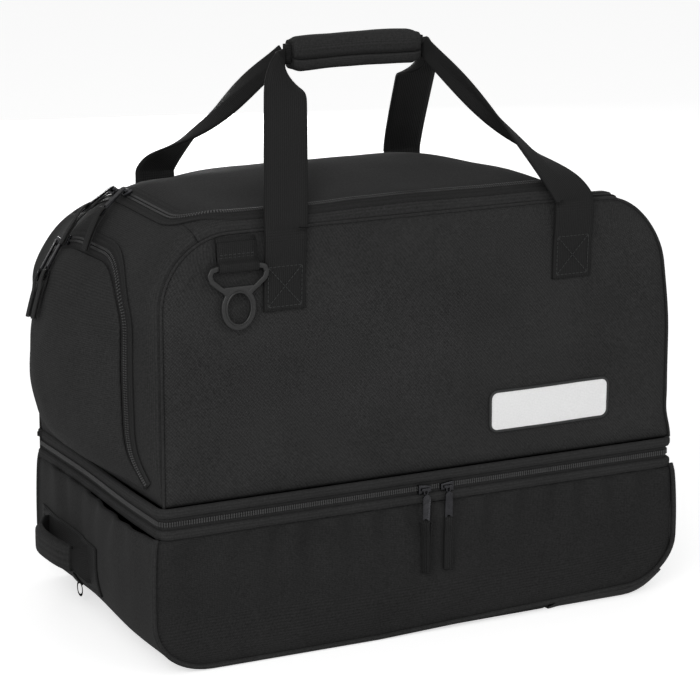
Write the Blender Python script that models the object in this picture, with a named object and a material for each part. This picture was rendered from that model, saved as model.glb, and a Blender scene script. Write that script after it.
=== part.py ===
# Two-storey boot bag: a padded boot compartment below, a clothes compartment above, hinged at the back
import math

import bpy
import bmesh
from mathutils import Vector

# Driving dimensions, in metres. X runs along the front, Y to the back, Z up, origin under the base
panel_width = 0.496
bag_depth = 0.290
boot_height = 0.119
zip_band = 0.026
upper_height = 0.227
shoulder_radius = 0.062
base_radius = 0.045
wall = 0.005
lid_wall = 0.004
floor_thickness = 0.003
gap = 0.0003
curve_gap = 0.00095

# Soft crown of the upper gusset over its seams
edge_rise = 0.009
edge_run = 0.016
side_crown = 0.007
top_crown = 0.012
bulge_blend = 0.060

# Top lid inside its zip
lid_side_angle = math.radians(25.6)
lid_border = 0.0127
lid_hinge_y = 0.040

# End pocket flap on the left end
pocket_front = -0.082
pocket_back = 0.098
pocket_flare = 0.018
pocket_flare_height = 0.050
pocket_corner = 0.045
pocket_rise = 0.011
pocket_top_angle = math.radians(69)
pocket_belly = 0.022
belly_fullness = 0.7
pocket_wall = 0.003
belly_ease = 0.8

# Zips
coil_width = 0.006
tape_thickness = 0.0015
zip_corner = 0.030
boot_zip_wall = 0.002
boot_zip_stop = 0.015
slider_length = 0.012
slider_width = 0.006
slider_height = 0.003
slider_shoulder = 0.1
slider_nose = 0.6
pull_width = 0.008
pull_thickness = 0.002
boot_pull_length = 0.074
lid_pull_length = 0.044
pocket_pull_length = 0.062
boot_sliders_x = (-0.006, 0.016)
lid_sliders_y = (-0.011, 0.0155)
pocket_sliders_y = (0.024, 0.044)

# Carry straps and their grip
webbing_width = 0.038
webbing_thickness = 0.002
webbing_corner = 0.001
strap_x = 0.138
tail_drop = 0.068
strap_stand_off = 0.0035
strap_rise = 0.040
strap_brow = (0.016, 0.034, -0.022)
pinch_start = 0.58
pinch_share = 0.22
grip_rise = 0.123
grip_length = 0.125
grip_wall = 0.008
run_width = 0.023
run_margin = 0.0080

# Plastic strap loops
loop_x = 0.183
loop_hang = 0.026
loop_bar_width = 0.042
loop_neck_width = 0.022
loop_bar_drop = 0.022
loop_side_share = 0.35
loop_waist_share = 0.8
loop_ring_radius = 0.0145
loop_ring_drop = 0.037
loop_rim = 0.0045
loop_thickness = 0.004
loop_tab_width = 0.030
loop_tab_hang = 0.002

# Label patch, haul handle, drag ring, skids, piping and base board
patch_size = (0.124, 0.037)
patch_place = (0.121, 0.0465)
patch_corner = 0.007
patch_thickness = 0.0012
haul_centre_y = 0.053
haul_patch_size = (0.150, 0.044)
haul_patch_corner = 0.004
haul_height = 0.056
haul_span = 0.112
haul_reach = 0.040
haul_squareness = 3
haul_webbing = 0.034
haul_pad_width = 0.038
haul_pad_thickness = 0.008
haul_pad_share = 0.52
ring_y = 0.067
ring_radius = 0.006
ring_wire = 0.0012
ring_tab_width = 0.014
ring_tab_top = 0.033
ring_tab_bottom = 0.022
skid_run = 0.077
skid_angle = math.radians(62)
skid_width = 0.070
skid_thickness = 0.003
piping_radius = 0.002
board_margin = 0.012
garage_size = (0.020, 0.016, 0.004)

# Values worked out from the driving dimensions
half_width = panel_width / 2
half_depth = bag_depth / 2
gusset_edge = half_depth - wall - gap
upper_base = boot_height + zip_band
top_seam_height = upper_base + upper_height
straight = half_width - shoulder_radius
shoulder_arc = shoulder_radius * math.pi / 2
shoulder_height = top_seam_height - shoulder_radius
lid_edge = straight + shoulder_radius * lid_side_angle
hinge_height = boot_height + zip_band / 2
lid_front = lid_border - gusset_edge
pocket_bottom = upper_base + pocket_rise
boot_zip_back = half_depth - boot_zip_stop
tail_bottom = top_seam_height - tail_drop
grip_height = top_seam_height + grip_rise
run_end_x = grip_length / 2 + run_margin
loop_bar_height = top_seam_height - loop_hang
loop_tab_top = top_seam_height - loop_tab_hang
patch_centre = (patch_place[0], upper_base + patch_place[1])
skid_start = half_width - base_radius - skid_run
across_x = Vector((1, 0, 0))
across_y = Vector((0, 1, 0))
upward = Vector((0, 0, 1))

fabric_colour = (0.020, 0.021, 0.022)
webbing_colour = (0.012, 0.012, 0.013)
zip_colour = (0.016, 0.016, 0.017)
metal_colour = (0.10, 0.10, 0.11)
plastic_colour = (0.014, 0.014, 0.015)
patch_colour = (0.85, 0.85, 0.84)
finishes = {
    "fabric": (fabric_colour, 0.9, 0.0),
    "webbing": (webbing_colour, 0.8, 0.0),
    "zip": (zip_colour, 0.6, 0.0),
    "metal": (metal_colour, 0.35, 1.0),
    "plastic": (plastic_colour, 0.4, 0.0),
    "patch": (patch_colour, 0.8, 0.0),
}

for leftover in list(bpy.data.objects):
    bpy.data.objects.remove(leftover)
bag = bpy.data.collections.new("boot_bag")
bpy.context.scene.collection.children.link(bag)
pivots = {}


def pivot(name, point, parent=None):
    empty = bpy.data.objects.new(name, None)
    empty.empty_display_size = 0.02
    place = Vector(point)
    pivots[name] = place
    if parent:
        empty.parent = bpy.data.objects[parent]
        place = place - pivots[parent]
    empty.location = place
    bag.objects.link(empty)
    return name


def add_part(name, data, finish, carrier=None, location=(0, 0, 0), rotation=(0, 0, 0)):
    part = bpy.data.objects.new(name, data)
    colour, roughness, metallic = finishes[finish]
    material = bpy.data.materials.new(name + "_" + finish)
    material.use_nodes = True
    shader = material.node_tree.nodes["Principled BSDF"]
    shader.inputs["Base Color"].default_value = (*colour, 1)
    shader.inputs["Roughness"].default_value = roughness
    shader.inputs["Metallic"].default_value = metallic
    data.materials.append(material)
    part.location = Vector(location)
    part.rotation_euler = rotation
    if carrier:
        part.parent = bpy.data.objects[carrier]
        part.location = Vector(location) - pivots[carrier]
    bag.objects.link(part)
    return part


# A closed solid through a row of matching rings
def loft(name, rings, finish, carrier=None):
    shape = bmesh.new()
    loops = []
    for ring in rings:
        loops.append([shape.verts.new(point) for point in ring])
    for near, far in zip(loops, loops[1:]):
        for index in range(len(near)):
            after = (index + 1) % len(near)
            shape.faces.new((near[index], near[after], far[after], far[index]))
    shape.faces.new(loops[0])
    shape.faces.new(list(reversed(loops[-1])))
    bmesh.ops.recalc_face_normals(shape, faces=shape.faces)
    mesh = bpy.data.meshes.new(name)
    shape.to_mesh(mesh)
    shape.free()
    return add_part(name, mesh, finish, carrier)


# A flat strip through stations of centre, across and normal directions
def strip(name, stations, width, thickness, finish, carrier=None):
    rings = []
    for index, (centre, across, normal) in enumerate(stations):
        here = width(index / (len(stations) - 1)) if callable(width) else width
        side = across.normalized() * here / 2
        lift = normal.normalized() * thickness / 2
        rings.append([centre - side - lift, centre + side - lift, centre + side + lift, centre - side + lift])
    return loft(name, rings, finish, carrier)


# A flat outline of one or more closed loops, extruded about the middle of its thickness
def plate(name, loops, thickness, finish, location, rotation, carrier=None):
    curve = bpy.data.curves.new(name, "CURVE")
    curve.dimensions = "2D"
    curve.fill_mode = "BOTH"
    curve.extrude = thickness / 2
    for loop in loops:
        spline = curve.splines.new("POLY")
        spline.points.add(len(loop) - 1)
        for point, (u, v) in zip(spline.points, loop):
            point.co = (u, v, 0, 1)
        spline.use_cyclic_u = True
    return add_part(name, curve, finish, carrier, location, rotation)


facing_front = (math.pi / 2, 0, 0)
facing_left = (math.pi / 2, 0, -math.pi / 2)
facing_right = (math.pi / 2, 0, math.pi / 2)


def arc(centre, radius, first, last, steps):
    points = []
    for step in range(steps + 1):
        angle = first + (last - first) * step / steps
        points.append((centre[0] + radius * math.cos(angle), centre[1] + radius * math.sin(angle)))
    return points


def rounded_box(centre, size, radius, steps=3):
    half_u = size[0] / 2 - radius
    half_v = size[1] / 2 - radius
    points = []
    for corner, (su, sv) in enumerate(((1, 1), (-1, 1), (-1, -1), (1, -1))):
        middle = (centre[0] + su * half_u, centre[1] + sv * half_v)
        points += arc(middle, radius, corner * math.pi / 2, (corner + 1) * math.pi / 2, steps)
    return points


# Path of the lower outline, from the left rim down, along the base and up to the right rim, set in by inset
def lower_corner(side, inset, steps=6):
    radius = base_radius - inset
    centre = (side * (half_width - base_radius), base_radius)
    if side < 0:
        return arc(centre, radius, math.pi, 1.5 * math.pi, steps)
    return arc(centre, radius, 1.5 * math.pi, 2 * math.pi, steps)


def lower_outline(inset):
    rim_left = (-half_width + inset, boot_height)
    rim_right = (half_width - inset, boot_height)
    return [rim_left] + lower_corner(-1, inset) + lower_corner(1, inset) + [rim_right]


# Surface of the upper gusset: along is measured from the top's middle round the shoulders, q is the Y place
def outline_point(along):
    side = -1 if along < 0 else 1
    reach = abs(along)
    if reach <= straight:
        return Vector((along, 0, top_seam_height)), Vector((0, 0, 1))
    if reach <= straight + shoulder_arc:
        angle = (reach - straight) / shoulder_radius
        normal = Vector((side * math.sin(angle), 0, math.cos(angle)))
        return Vector((side * straight, 0, shoulder_height)) + normal * shoulder_radius, normal
    drop = reach - straight - shoulder_arc
    return Vector((side * half_width, 0, shoulder_height - drop)), Vector((side, 0, 0))


def bulge(along, q):
    overrun = max(0.0, abs(q) - (gusset_edge - edge_run)) / edge_run
    rise = edge_rise * math.sqrt(max(0.0, 1 - overrun ** 2))
    across_share = 1 - (q / gusset_edge) ** 2
    rise += side_crown * across_share
    if abs(along) < lid_edge:
        rise += top_crown * across_share * (1 - (along / lid_edge) ** 2)
    place, _ = outline_point(along)
    share = min(1.0, max(0.0, (place.z - upper_base) / bulge_blend))
    return rise * share * (2 - share)


def surface(along, q, lift=0.0):
    place, normal = outline_point(along)
    return place + normal * (bulge(along, q) + lift) + across_y * q


def along_at_height(height):
    return straight + shoulder_arc + shoulder_height - height


def spread(first, last, steps):
    return [first + (last - first) * step / steps for step in range(steps + 1)]


def gusset(name, alongs, q_first, q_last, q_steps, thickness, finish, carrier):
    qs = spread(q_first, q_last, q_steps)
    rings = []
    for along in alongs:
        outer = [surface(along, q) for q in qs]
        inner = [surface(along, q, -thickness) for q in reversed(qs)]
        rings.append(outer + inner)
    return loft(name, rings, finish, carrier)


# A zip tape laid on the gusset: path points are (along, q), moved sideways by shift
def surface_strip(name, path, shift, width, lift, thickness, finish, carrier):
    rings = []
    for index, point in enumerate(path):
        before = Vector(path[max(0, index - 1)])
        after = Vector(path[min(len(path) - 1, index + 1)])
        heading = (after - before).normalized()
        sideways = Vector((heading.y, -heading.x))
        edges = [Vector(point) + sideways * (shift + share * width / 2) for share in (-1, 1)]
        low = [surface(edge.x, edge.y, lift) for edge in edges]
        high = [surface(edge.x, edge.y, lift + thickness) for edge in edges]
        rings.append([low[0], low[1], high[1], high[0]])
    return loft(name, rings, finish, carrier)


# Slider on a zip: a wedge with its narrow end forwards
def slider(name, place, forwards, across, normal, carrier):
    stations = []
    for share in (-0.5, slider_shoulder, 0.5):
        stations.append((place + forwards * slider_length * share, across, normal))
    nose = slider_width * slider_nose
    return strip(name, stations, lambda t: slider_width if t < 1 else nose, slider_height, "metal", carrier)


# Joint axes that carry the moving pieces
upper = pivot("upper_compartment_axis", (0, half_depth, hinge_height))
lid_axis_height = surface(0, lid_hinge_y).z
lid = pivot("lid_axis", (0, lid_hinge_y, lid_axis_height), upper)
strap_axis_y = half_depth + strap_stand_off
front_swing = pivot("front_strap_axis", (0, -strap_axis_y, top_seam_height), upper)
back_swing = pivot("back_strap_axis", (0, strap_axis_y, top_seam_height), upper)
grip_hinge = (0, webbing_thickness + 2 * gap + grip_wall, grip_height + run_width / 2 + gap / 2)
flap_swing = pivot("grip_flap_axis", grip_hinge, back_swing)
pocket_axis = (-half_width - edge_rise, 0, pocket_bottom)
pocket = pivot("pocket_flap_axis", pocket_axis, upper)

# Boot compartment: front and back panels, three gusset panels and a stiff board
panel_depth = half_depth - wall / 2
for side, name in ((-1, "boot_front_panel"), (1, "boot_back_panel")):
    plate(name, [lower_outline(piping_radius)], wall, "fabric", (0, side * panel_depth, 0), facing_front)

gusset_depth = 2 * gusset_edge
left_outer = [(-half_width, boot_height)] + lower_corner(-1, 0)
left_inner = [(-half_width + wall, boot_height)] + lower_corner(-1, wall)
plate("boot_left_panel", [left_outer + left_inner[::-1]], gusset_depth, "fabric", (0, 0, 0), facing_front)

base_left = -half_width + base_radius + gap
base_outline = [(base_left, 0), (skid_start - gap, 0), (skid_start - gap, wall), (base_left, wall)]
plate("base_panel", [base_outline], gusset_depth, "fabric", (0, 0, 0), facing_front)

skid_room = skid_thickness + gap
right_outer = [(skid_start, skid_room)] + lower_corner(1, skid_room)
right_outer += [(half_width - skid_room, boot_height)]
right_inner = [(skid_start, skid_room + wall)] + lower_corner(1, skid_room + wall)
right_inner += [(half_width - skid_room - wall, boot_height)]
plate("boot_right_panel", [right_outer + right_inner[::-1]], gusset_depth, "fabric", (0, 0, 0), facing_front)

board_left = base_left + board_margin
board_right = skid_start - board_margin
board_low = wall + gap
board_high = board_low + floor_thickness
board = [(board_left, board_low), (board_right, board_low), (board_right, board_high), (board_left, board_high)]
plate("base_board", [board], gusset_depth - 2 * board_margin, "plastic", (0, 0, 0), facing_front)

# Two skids round the right-hand base corner
skid_centre = Vector((half_width - base_radius, 0, base_radius))
for side, name in ((-1, "base_skid_front"), (1, "base_skid_back")):
    stations = []
    skid_y = across_y * side * (gusset_edge - skid_width / 2 - gap)
    for x in spread(skid_start, skid_centre.x, 2):
        stations.append((Vector((x, 0, skid_thickness / 2)) + skid_y, across_y, upward))
    for angle in spread(0, skid_angle, 5)[1:]:
        outward = Vector((math.sin(angle), 0, -math.cos(angle)))
        centre = skid_centre + outward * (base_radius - skid_thickness / 2)
        stations.append((centre + skid_y, across_y, -outward))
    strip(name, stations, skid_width, skid_thickness, "plastic")

# Piping round the front and back panels
for side, name in ((-1, "front_piping"), (1, "back_piping")):
    tube = bpy.data.curves.new(name, "CURVE")
    tube.dimensions = "3D"
    tube.bevel_depth = piping_radius
    tube.bevel_resolution = 1
    tube.use_fill_caps = True
    route = lower_outline(-gap)
    route = [(x, z + piping_radius + gap) for x, z in route]
    spline = tube.splines.new("POLY")
    spline.points.add(len(route) - 1)
    for point, (x, z) in zip(spline.points, route):
        point.co = (x, side * (half_depth + piping_radius + gap), z, 1)
    add_part(name, tube, "fabric")

# Boot zip: two tape halves round the left end, the front and the right end, with end tabs at the back
half_band = (zip_band - 3 * gap) / 2


def boot_zip_route(inset):
    reach = half_width - inset
    front = half_depth - inset
    turn = zip_corner - inset
    left = (-half_width + zip_corner, -half_depth + zip_corner)
    right = (half_width - zip_corner, -half_depth + zip_corner)
    route = [(-reach, boot_zip_back)] + arc(left, turn, math.pi, 1.5 * math.pi, 6)
    route += arc(right, turn, 1.5 * math.pi, 2 * math.pi, 6) + [(reach, boot_zip_back)]
    return route


def boot_zip_half(name, low, carrier):
    rings = []
    for outer, inner in zip(boot_zip_route(0), boot_zip_route(boot_zip_wall)):
        ring = []
        for (x, y), z in ((outer, low), (inner, low), (inner, low + half_band), (outer, low + half_band)):
            ring.append(Vector((x, y, z)))
        rings.append(ring)
    loft(name, rings, "zip", carrier)


boot_zip_half("boot_zip_lower", boot_height + gap, None)
boot_zip_half("boot_zip_upper", boot_height + 2 * gap + half_band, upper)

# Fabric hinge along the back, one strip on each side of the fold
hinge_low = boot_height + gap + half_band / 2
hinge_high = hinge_low + half_band + gap
for name, middle, carrier in (("back_hinge_lower", hinge_low, None), ("back_hinge_upper", hinge_high, upper)):
    span = 2 * (half_width - zip_corner)
    outline = rounded_box((0, middle), (span, half_band), boot_zip_wall, 1)
    hinge_y = half_depth - boot_zip_wall / 2 - gap
    plate(name, [outline], boot_zip_wall, "fabric", (0, hinge_y, 0), facing_front, carrier)

# Boot zip sliders and their pulls, which hang down the front
slider_y = -half_depth - gap - slider_height / 2
slider_z = boot_height + gap + half_band / 2
for name, x, heading in (("left", boot_sliders_x[0], -1), ("right", boot_sliders_x[1], 1)):
    place = Vector((x, slider_y, slider_z))
    runner = pivot("boot_slider_%s_axis" % name, place)
    slider("boot_slider_%s" % name, place, across_x * -heading, upward, -across_y, runner)
    top = Vector((x, slider_y - slider_height / 2 - gap - pull_thickness / 2, slider_z))
    hanger = pivot("boot_pull_%s_axis" % name, top, runner)
    stations = [(top - upward * drop, across_x, -across_y) for drop in spread(0, boot_pull_length, 2)]
    strip("boot_pull_%s" % name, stations, pull_width, pull_thickness, "metal", hanger)

# Haul handle on the left end: backing patch, two webbing ends and a pad that swing on its top edge
patch_x = -half_width - gap - webbing_thickness / 2
patch_outline = rounded_box((haul_centre_y, haul_height), haul_patch_size, haul_patch_corner, 1)
patch_outline = [(-y, z) for y, z in patch_outline]
plate("haul_backing", [patch_outline], webbing_thickness, "webbing", (patch_x, 0, 0), facing_left)
haul_x = patch_x - webbing_thickness / 2 - gap
haul_pivot = (haul_x, haul_centre_y, haul_height + haul_pad_width / 2)
haul = pivot("haul_handle_axis", haul_pivot)


def haul_point(share):
    y = haul_centre_y + haul_span * (share - 0.5)
    bow = 1 - abs(2 * share - 1) ** haul_squareness
    reach = webbing_thickness / 2 + haul_reach * bow
    return Vector((haul_x - reach, y, haul_height))


def haul_stations(first, last, steps):
    stations = []
    for share in spread(first, last, steps):
        heading = haul_point(min(1, share + 0.01)) - haul_point(max(0, share - 0.01))
        stations.append((haul_point(share), upward, heading.cross(upward)))
    return stations


pad_start = 0.5 - haul_pad_share / 2
pad_end = 0.5 + haul_pad_share / 2
seat = gap / haul_span
strip("haul_webbing_front", haul_stations(0, pad_start - seat, 5),
      haul_webbing, webbing_thickness, "webbing", haul)
strip("haul_webbing_back", haul_stations(pad_end + seat, 1, 5),
      haul_webbing, webbing_thickness, "webbing", haul)
strip("haul_pad", haul_stations(pad_start, pad_end, 8),
      haul_pad_width, haul_pad_thickness, "fabric", haul)

# Drag ring on a webbing tab under the haul handle
tab_stations = []
for z in spread(ring_tab_top, ring_tab_bottom, 3):
    angle = math.asin((base_radius - z) / base_radius)
    outward = Vector((-math.cos(angle), 0, -math.sin(angle)))
    centre = Vector((-half_width + base_radius, ring_y, base_radius))
    centre += outward * (base_radius + gap + webbing_thickness / 2)
    tab_stations.append((centre, across_y, outward))
strip("drag_ring_tab", tab_stations, ring_tab_width, webbing_thickness, "webbing")
tab_end = tab_stations[-1][0]
tab_lean = webbing_thickness / 2 * math.sin(angle)
ring_centre = tab_end - upward * (ring_radius + ring_wire + tab_lean + gap)
ring_swing = pivot("drag_ring_axis", ring_centre + upward * ring_radius)
bpy.ops.mesh.primitive_torus_add(major_radius=ring_radius, minor_radius=ring_wire,
                                 major_segments=20, minor_segments=6)
ring_mesh = bpy.context.object.data
bpy.data.objects.remove(bpy.context.object)
ring_mesh.shade_smooth()
add_part("drag_ring", ring_mesh, "metal", ring_swing, ring_centre, (0, math.pi / 2, 0))

# Upper compartment: floor, front and back panels with round shoulders, ends and top borders
floor_size = (panel_width - 2 * (wall + gap), gusset_depth - 2 * gap)
floor_corners = ((-1, -1), (1, -1), (1, 1), (-1, 1))
floor_outline = [(x * floor_size[0] / 2, y * floor_size[1] / 2) for x, y in floor_corners]
plate("divider_floor", [floor_outline], floor_thickness, "fabric",
      (0, 0, upper_base + floor_thickness / 2), (0, 0, 0), upper)

left_shoulder = (-straight, shoulder_height)
right_shoulder = (straight, shoulder_height)
upper_outline = [(-half_width, upper_base), (half_width, upper_base)]
upper_outline += arc(right_shoulder, shoulder_radius, 0, math.pi / 2, 8)
upper_outline += arc(left_shoulder, shoulder_radius, math.pi / 2, math.pi, 8)
for side, name in ((-1, "upper_front_panel"), (1, "upper_back_panel")):
    plate(name, [upper_outline], wall, "fabric", (0, side * panel_depth, 0), facing_front, upper)

end_foot = along_at_height(upper_base)
bends = spread(lid_edge + gap, straight + shoulder_arc, 6)
falls = spread(straight + shoulder_arc, end_foot, 6)[1:]
for side, name in ((-1, "left_end_panel"), (1, "right_end_panel")):
    end_alongs = [side * along for along in bends + falls]
    gusset(name, end_alongs, -gusset_edge, gusset_edge, 16, wall, "fabric", upper)
top_alongs = spread(-lid_edge, -straight, 2)[:-1] + spread(-straight, straight, 10)
top_alongs += spread(straight, lid_edge, 2)[1:]
gusset("top_border_front", top_alongs, -gusset_edge, lid_front - gap, 5, wall, "fabric", upper)
gusset("top_back_panel", top_alongs, lid_hinge_y + gap, gusset_edge, 8, wall, "fabric", upper)
gusset("top_lid", top_alongs, lid_front, lid_hinge_y, 14, lid_wall, "fabric", lid)

# Lid zip: one tape half on the lid, one on the body, U-shaped and open to the back
lid_corner = 2 * coil_width
corner_centre = (lid_edge - lid_corner, lid_front + lid_corner)
right_run = arc(corner_centre, lid_corner, 0, -math.pi / 2, 4)
lid_route = [(lid_edge, q) for q in spread(lid_hinge_y, corner_centre[1], 6)[:-1]] + right_run
left_half = [(-along, q) for along, q in reversed(lid_route)]
lid_route += [(along, lid_front) for along in reversed(top_alongs) if abs(along) < corner_centre[0]]
lid_route += left_half
tape_shift = coil_width / 2 + gap
surface_strip("lid_zip_inner", lid_route, tape_shift, coil_width, curve_gap, tape_thickness, "zip", lid)
surface_strip("lid_zip_outer", lid_route, -tape_shift, coil_width, curve_gap, tape_thickness, "zip", upper)

# Fabric garages over the zip's two ends
for side, name in ((-1, "zip_garage_left"), (1, "zip_garage_right")):
    stations = []
    for q in spread(lid_hinge_y + 2 * gap, lid_hinge_y + garage_size[0], 2):
        along = side * (lid_edge + gap + garage_size[1] / 2)
        _, normal = outline_point(along)
        stations.append((surface(along, q, curve_gap + garage_size[2] / 2), normal.cross(across_y), normal))
    strip(name, stations, garage_size[1], garage_size[2], "fabric", upper)

# Lid zip sliders on the left run, with pulls that lie down the shoulder
run_along = -(lid_edge + tape_shift)
_, run_normal = outline_point(run_along)
slider_lift = curve_gap + gap + tape_thickness + slider_height / 2
pull_lift = slider_lift + slider_height / 2 + gap + pull_thickness / 2
for name, q, heading in (("front", lid_sliders_y[0], -1), ("back", lid_sliders_y[1], 1)):
    place = surface(run_along, q, slider_lift)
    runner = pivot("lid_slider_%s_axis" % name, place, upper)
    slider("lid_slider_%s" % name, place, across_y * -heading, across_y.cross(run_normal), run_normal, runner)
    hanger = pivot("lid_pull_%s_axis" % name, surface(run_along, q, pull_lift), runner)
    stations = []
    outer_radius = shoulder_radius + edge_rise + side_crown
    for travel in spread(0, lid_pull_length * shoulder_radius / outer_radius, 6):
        _, normal = outline_point(run_along - travel)
        stations.append((surface(run_along - travel, q, pull_lift), across_y, normal))
    strip("lid_pull_%s" % name, stations, pull_width, pull_thickness, "metal", hanger)

# End pocket flap, a swollen shell over the left end, with its zip round three sides
pocket_foot_along = along_at_height(pocket_bottom)
pocket_top_along = straight + shoulder_radius * pocket_top_angle
pocket_length = pocket_foot_along - pocket_top_along


def pocket_edges(share):
    from_top = (1 - share) * pocket_length
    from_foot = share * pocket_length
    inset = 0.0
    if from_top < pocket_corner:
        inset = pocket_corner - math.sqrt(pocket_corner ** 2 - (pocket_corner - from_top) ** 2)
    flare = pocket_flare * max(0.0, 1 - from_foot / pocket_flare_height) ** 2
    return pocket_front + inset - flare, pocket_back - inset


def pocket_along(share):
    return -(pocket_foot_along - share * pocket_length)


corner_share = 1 - pocket_corner / pocket_length
pocket_shares = spread(0, corner_share, 6)
for turn in spread(0, math.pi / 2, 5)[1:]:
    pocket_shares.append(corner_share + (1 - corner_share) * math.sin(turn))


def pocket_lift(share, u):
    swell = math.sin(math.pi * share) ** belly_fullness if 0 < share < 1 else 0.0
    return curve_gap + pocket_wall + pocket_belly * swell * (1 - u * u)


rings = []
for share in pocket_shares:
    front_q, back_q = pocket_edges(share)
    qs = spread(front_q, back_q, 10)
    lifts = [pocket_lift(share, u) for u in spread(-1, 1, 10)]
    outer = [surface(pocket_along(share), q, lift) for q, lift in zip(qs, lifts)]
    inner = [surface(pocket_along(share), q, lift - pocket_wall) for q, lift in zip(qs, lifts)]
    rings.append(outer + inner[::-1])
loft("end_pocket_flap", rings, "fabric", pocket)

front_side = [(pocket_along(share), pocket_edges(share)[0]) for share in pocket_shares]
back_side = [(pocket_along(share), pocket_edges(share)[1]) for share in reversed(pocket_shares)]
top_middle = [(pocket_along(1), q) for q in spread(front_side[-1][1], back_side[0][1], 4)[1:-1]]
pocket_route = front_side + top_middle + back_side
inner_shift = coil_width / 2 + gap
outer_shift = 1.5 * coil_width + 2 * gap
pocket_tape = boot_zip_wall


# The flap's half of the zip starts above the fold at its foot
def above_fold(foot, following):
    part = coil_width / (following[0] - foot[0])
    return foot[0] + coil_width, foot[1] + (following[1] - foot[1]) * part


inner_ends = (above_fold(*pocket_route[:2]), above_fold(*pocket_route[:-3:-1]))
inner_route = [inner_ends[0]] + pocket_route[1:-1] + [inner_ends[1]]
surface_strip("pocket_zip_inner", inner_route, inner_shift, coil_width, curve_gap, pocket_tape, "zip", pocket)
surface_strip("pocket_zip_outer", pocket_route, outer_shift, coil_width, curve_gap, pocket_tape, "zip", upper)

# Pocket sliders at the top of the flap, with pulls that hang over its belly
crest_along = pocket_along(1) + inner_shift
_, crest_normal = outline_point(crest_along)
crest_lift = curve_gap + 2 * gap + boot_zip_wall + slider_height / 2
for name, q, heading in (("front", pocket_sliders_y[0], -1), ("back", pocket_sliders_y[1], 1)):
    place = surface(crest_along, q, crest_lift)
    runner = pivot("pocket_slider_%s_axis" % name, place, pocket)
    crosswise = across_y.cross(crest_normal)
    slider("pocket_slider_%s" % name, place, across_y * -heading, crosswise, crest_normal, runner)
    top_lift = crest_lift + slider_height / 2 + gap + pull_thickness / 2
    hanger = pivot("pocket_pull_%s_axis" % name, surface(crest_along, q, top_lift), runner)
    stations = []
    middle_q = (pocket_front + pocket_back) / 2
    for travel in spread(0, pocket_pull_length, 6):
        share = min(1.0, 1 - (travel - inner_shift) / pocket_length)
        u = (q - middle_q) / ((pocket_back - pocket_front) / 2)
        rest = pocket_lift(share, u * belly_ease) + curve_gap + pull_thickness / 2
        _, normal = outline_point(crest_along - travel)
        lift = max(top_lift, rest)
        stations.append((surface(crest_along - travel, q, lift), across_y, normal))
    strip("pocket_pull_%s" % name, stations, pull_width, pull_thickness, "metal", hanger)

# Strap tails stitched to the front and back panels
tail_length = top_seam_height - gap - tail_bottom
tail_y = half_depth + gap + webbing_thickness / 2
for side, face in ((-1, "front"), (1, "back")):
    for hand, x in (("left", -strap_x), ("right", strap_x)):
        middle = (x, tail_bottom + tail_length / 2)
        outline = rounded_box(middle, (webbing_width, tail_length), webbing_corner, 1)
        plate("%s_strap_tail_%s" % (face, hand), [outline], webbing_thickness, "webbing",
              (0, side * tail_y, 0), facing_front, upper)


# One carry strap: up from the left tail, along the grip and down to the right tail
def strap_stations(side):
    run_y = side * (webbing_thickness / 2 + gap)
    foot = Vector((-strap_x, side * strap_axis_y, top_seam_height))
    knee = foot + upward * strap_rise
    head = Vector((-run_end_x, run_y, grip_height))
    brow = head + Vector((-strap_brow[0], side * strap_brow[1], strap_brow[2]))
    points = []
    for t in spread(0, 1, 12):
        s = 1 - t
        points.append(foot * s ** 3 + knee * 3 * s * s * t + brow * 3 * s * t * t + head * t ** 3)
    points += [Vector((x, run_y, grip_height)) for x in spread(-run_end_x, 0, 2)[1:]]
    points += [Vector((-p.x, p.y, p.z)) for p in reversed(points[:-1])]
    headings = [after - before for before, after in zip(points, points[2:])]
    headings = [upward] + headings + [-upward]
    stations = []
    for point, heading in zip(points, headings):
        across = heading.cross(across_y)
        stations.append((point, across, across.cross(heading)))
    return stations


def strap_width(t):
    from_end = min(t, 1 - t) * 2
    pinch = min(1.0, max(0.0, (from_end - pinch_start) / pinch_share))
    return webbing_width + (run_width - webbing_width) * pinch


strip("front_strap", strap_stations(-1), strap_width, webbing_thickness, "webbing", front_swing)
strip("back_strap", strap_stations(1), strap_width, webbing_thickness, "webbing", back_swing)

# Padded grip wrap: an angle of back and bottom on the back strap, and a flap over the top and front
inner_y = webbing_thickness + 2 * gap
outer_y = inner_y + grip_wall
inner_z = run_width / 2 + gap
outer_z = inner_z + grip_wall
wrap_outline = [(-outer_y, -outer_z), (outer_y, -outer_z), (outer_y, inner_z - gap), (inner_y, inner_z - gap),
                (inner_y, -inner_z), (-outer_y, -inner_z)]
flap_foot = -inner_z + gap
flap_outline = [(-outer_y, flap_foot), (-inner_y, flap_foot), (-inner_y, inner_z), (outer_y, inner_z),
                (outer_y, outer_z), (-outer_y, outer_z)]
plate("grip_wrap", [wrap_outline], grip_length, "fabric", (0, 0, grip_height), facing_right, back_swing)
plate("grip_flap", [flap_outline], grip_length, "fabric", (0, 0, grip_height), facing_right, flap_swing)


# Plastic loop for a shoulder strap: a tapered bar frame with a round eye under it
def loop_outline(grow):
    bar = loop_bar_width / 2 + grow
    neck = loop_neck_width / 2 + grow
    eye = loop_ring_radius + grow
    eye_centre = (0, -loop_ring_drop)
    start = math.asin(min(1.0, neck / eye * loop_waist_share))
    points = [(-bar, grow), (-bar, -loop_bar_drop * loop_side_share)]
    points += arc(eye_centre, eye, math.pi / 2 + start, 2.5 * math.pi - start, 18)
    points += [(bar, -loop_bar_drop * loop_side_share), (bar, grow)]
    return points


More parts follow.
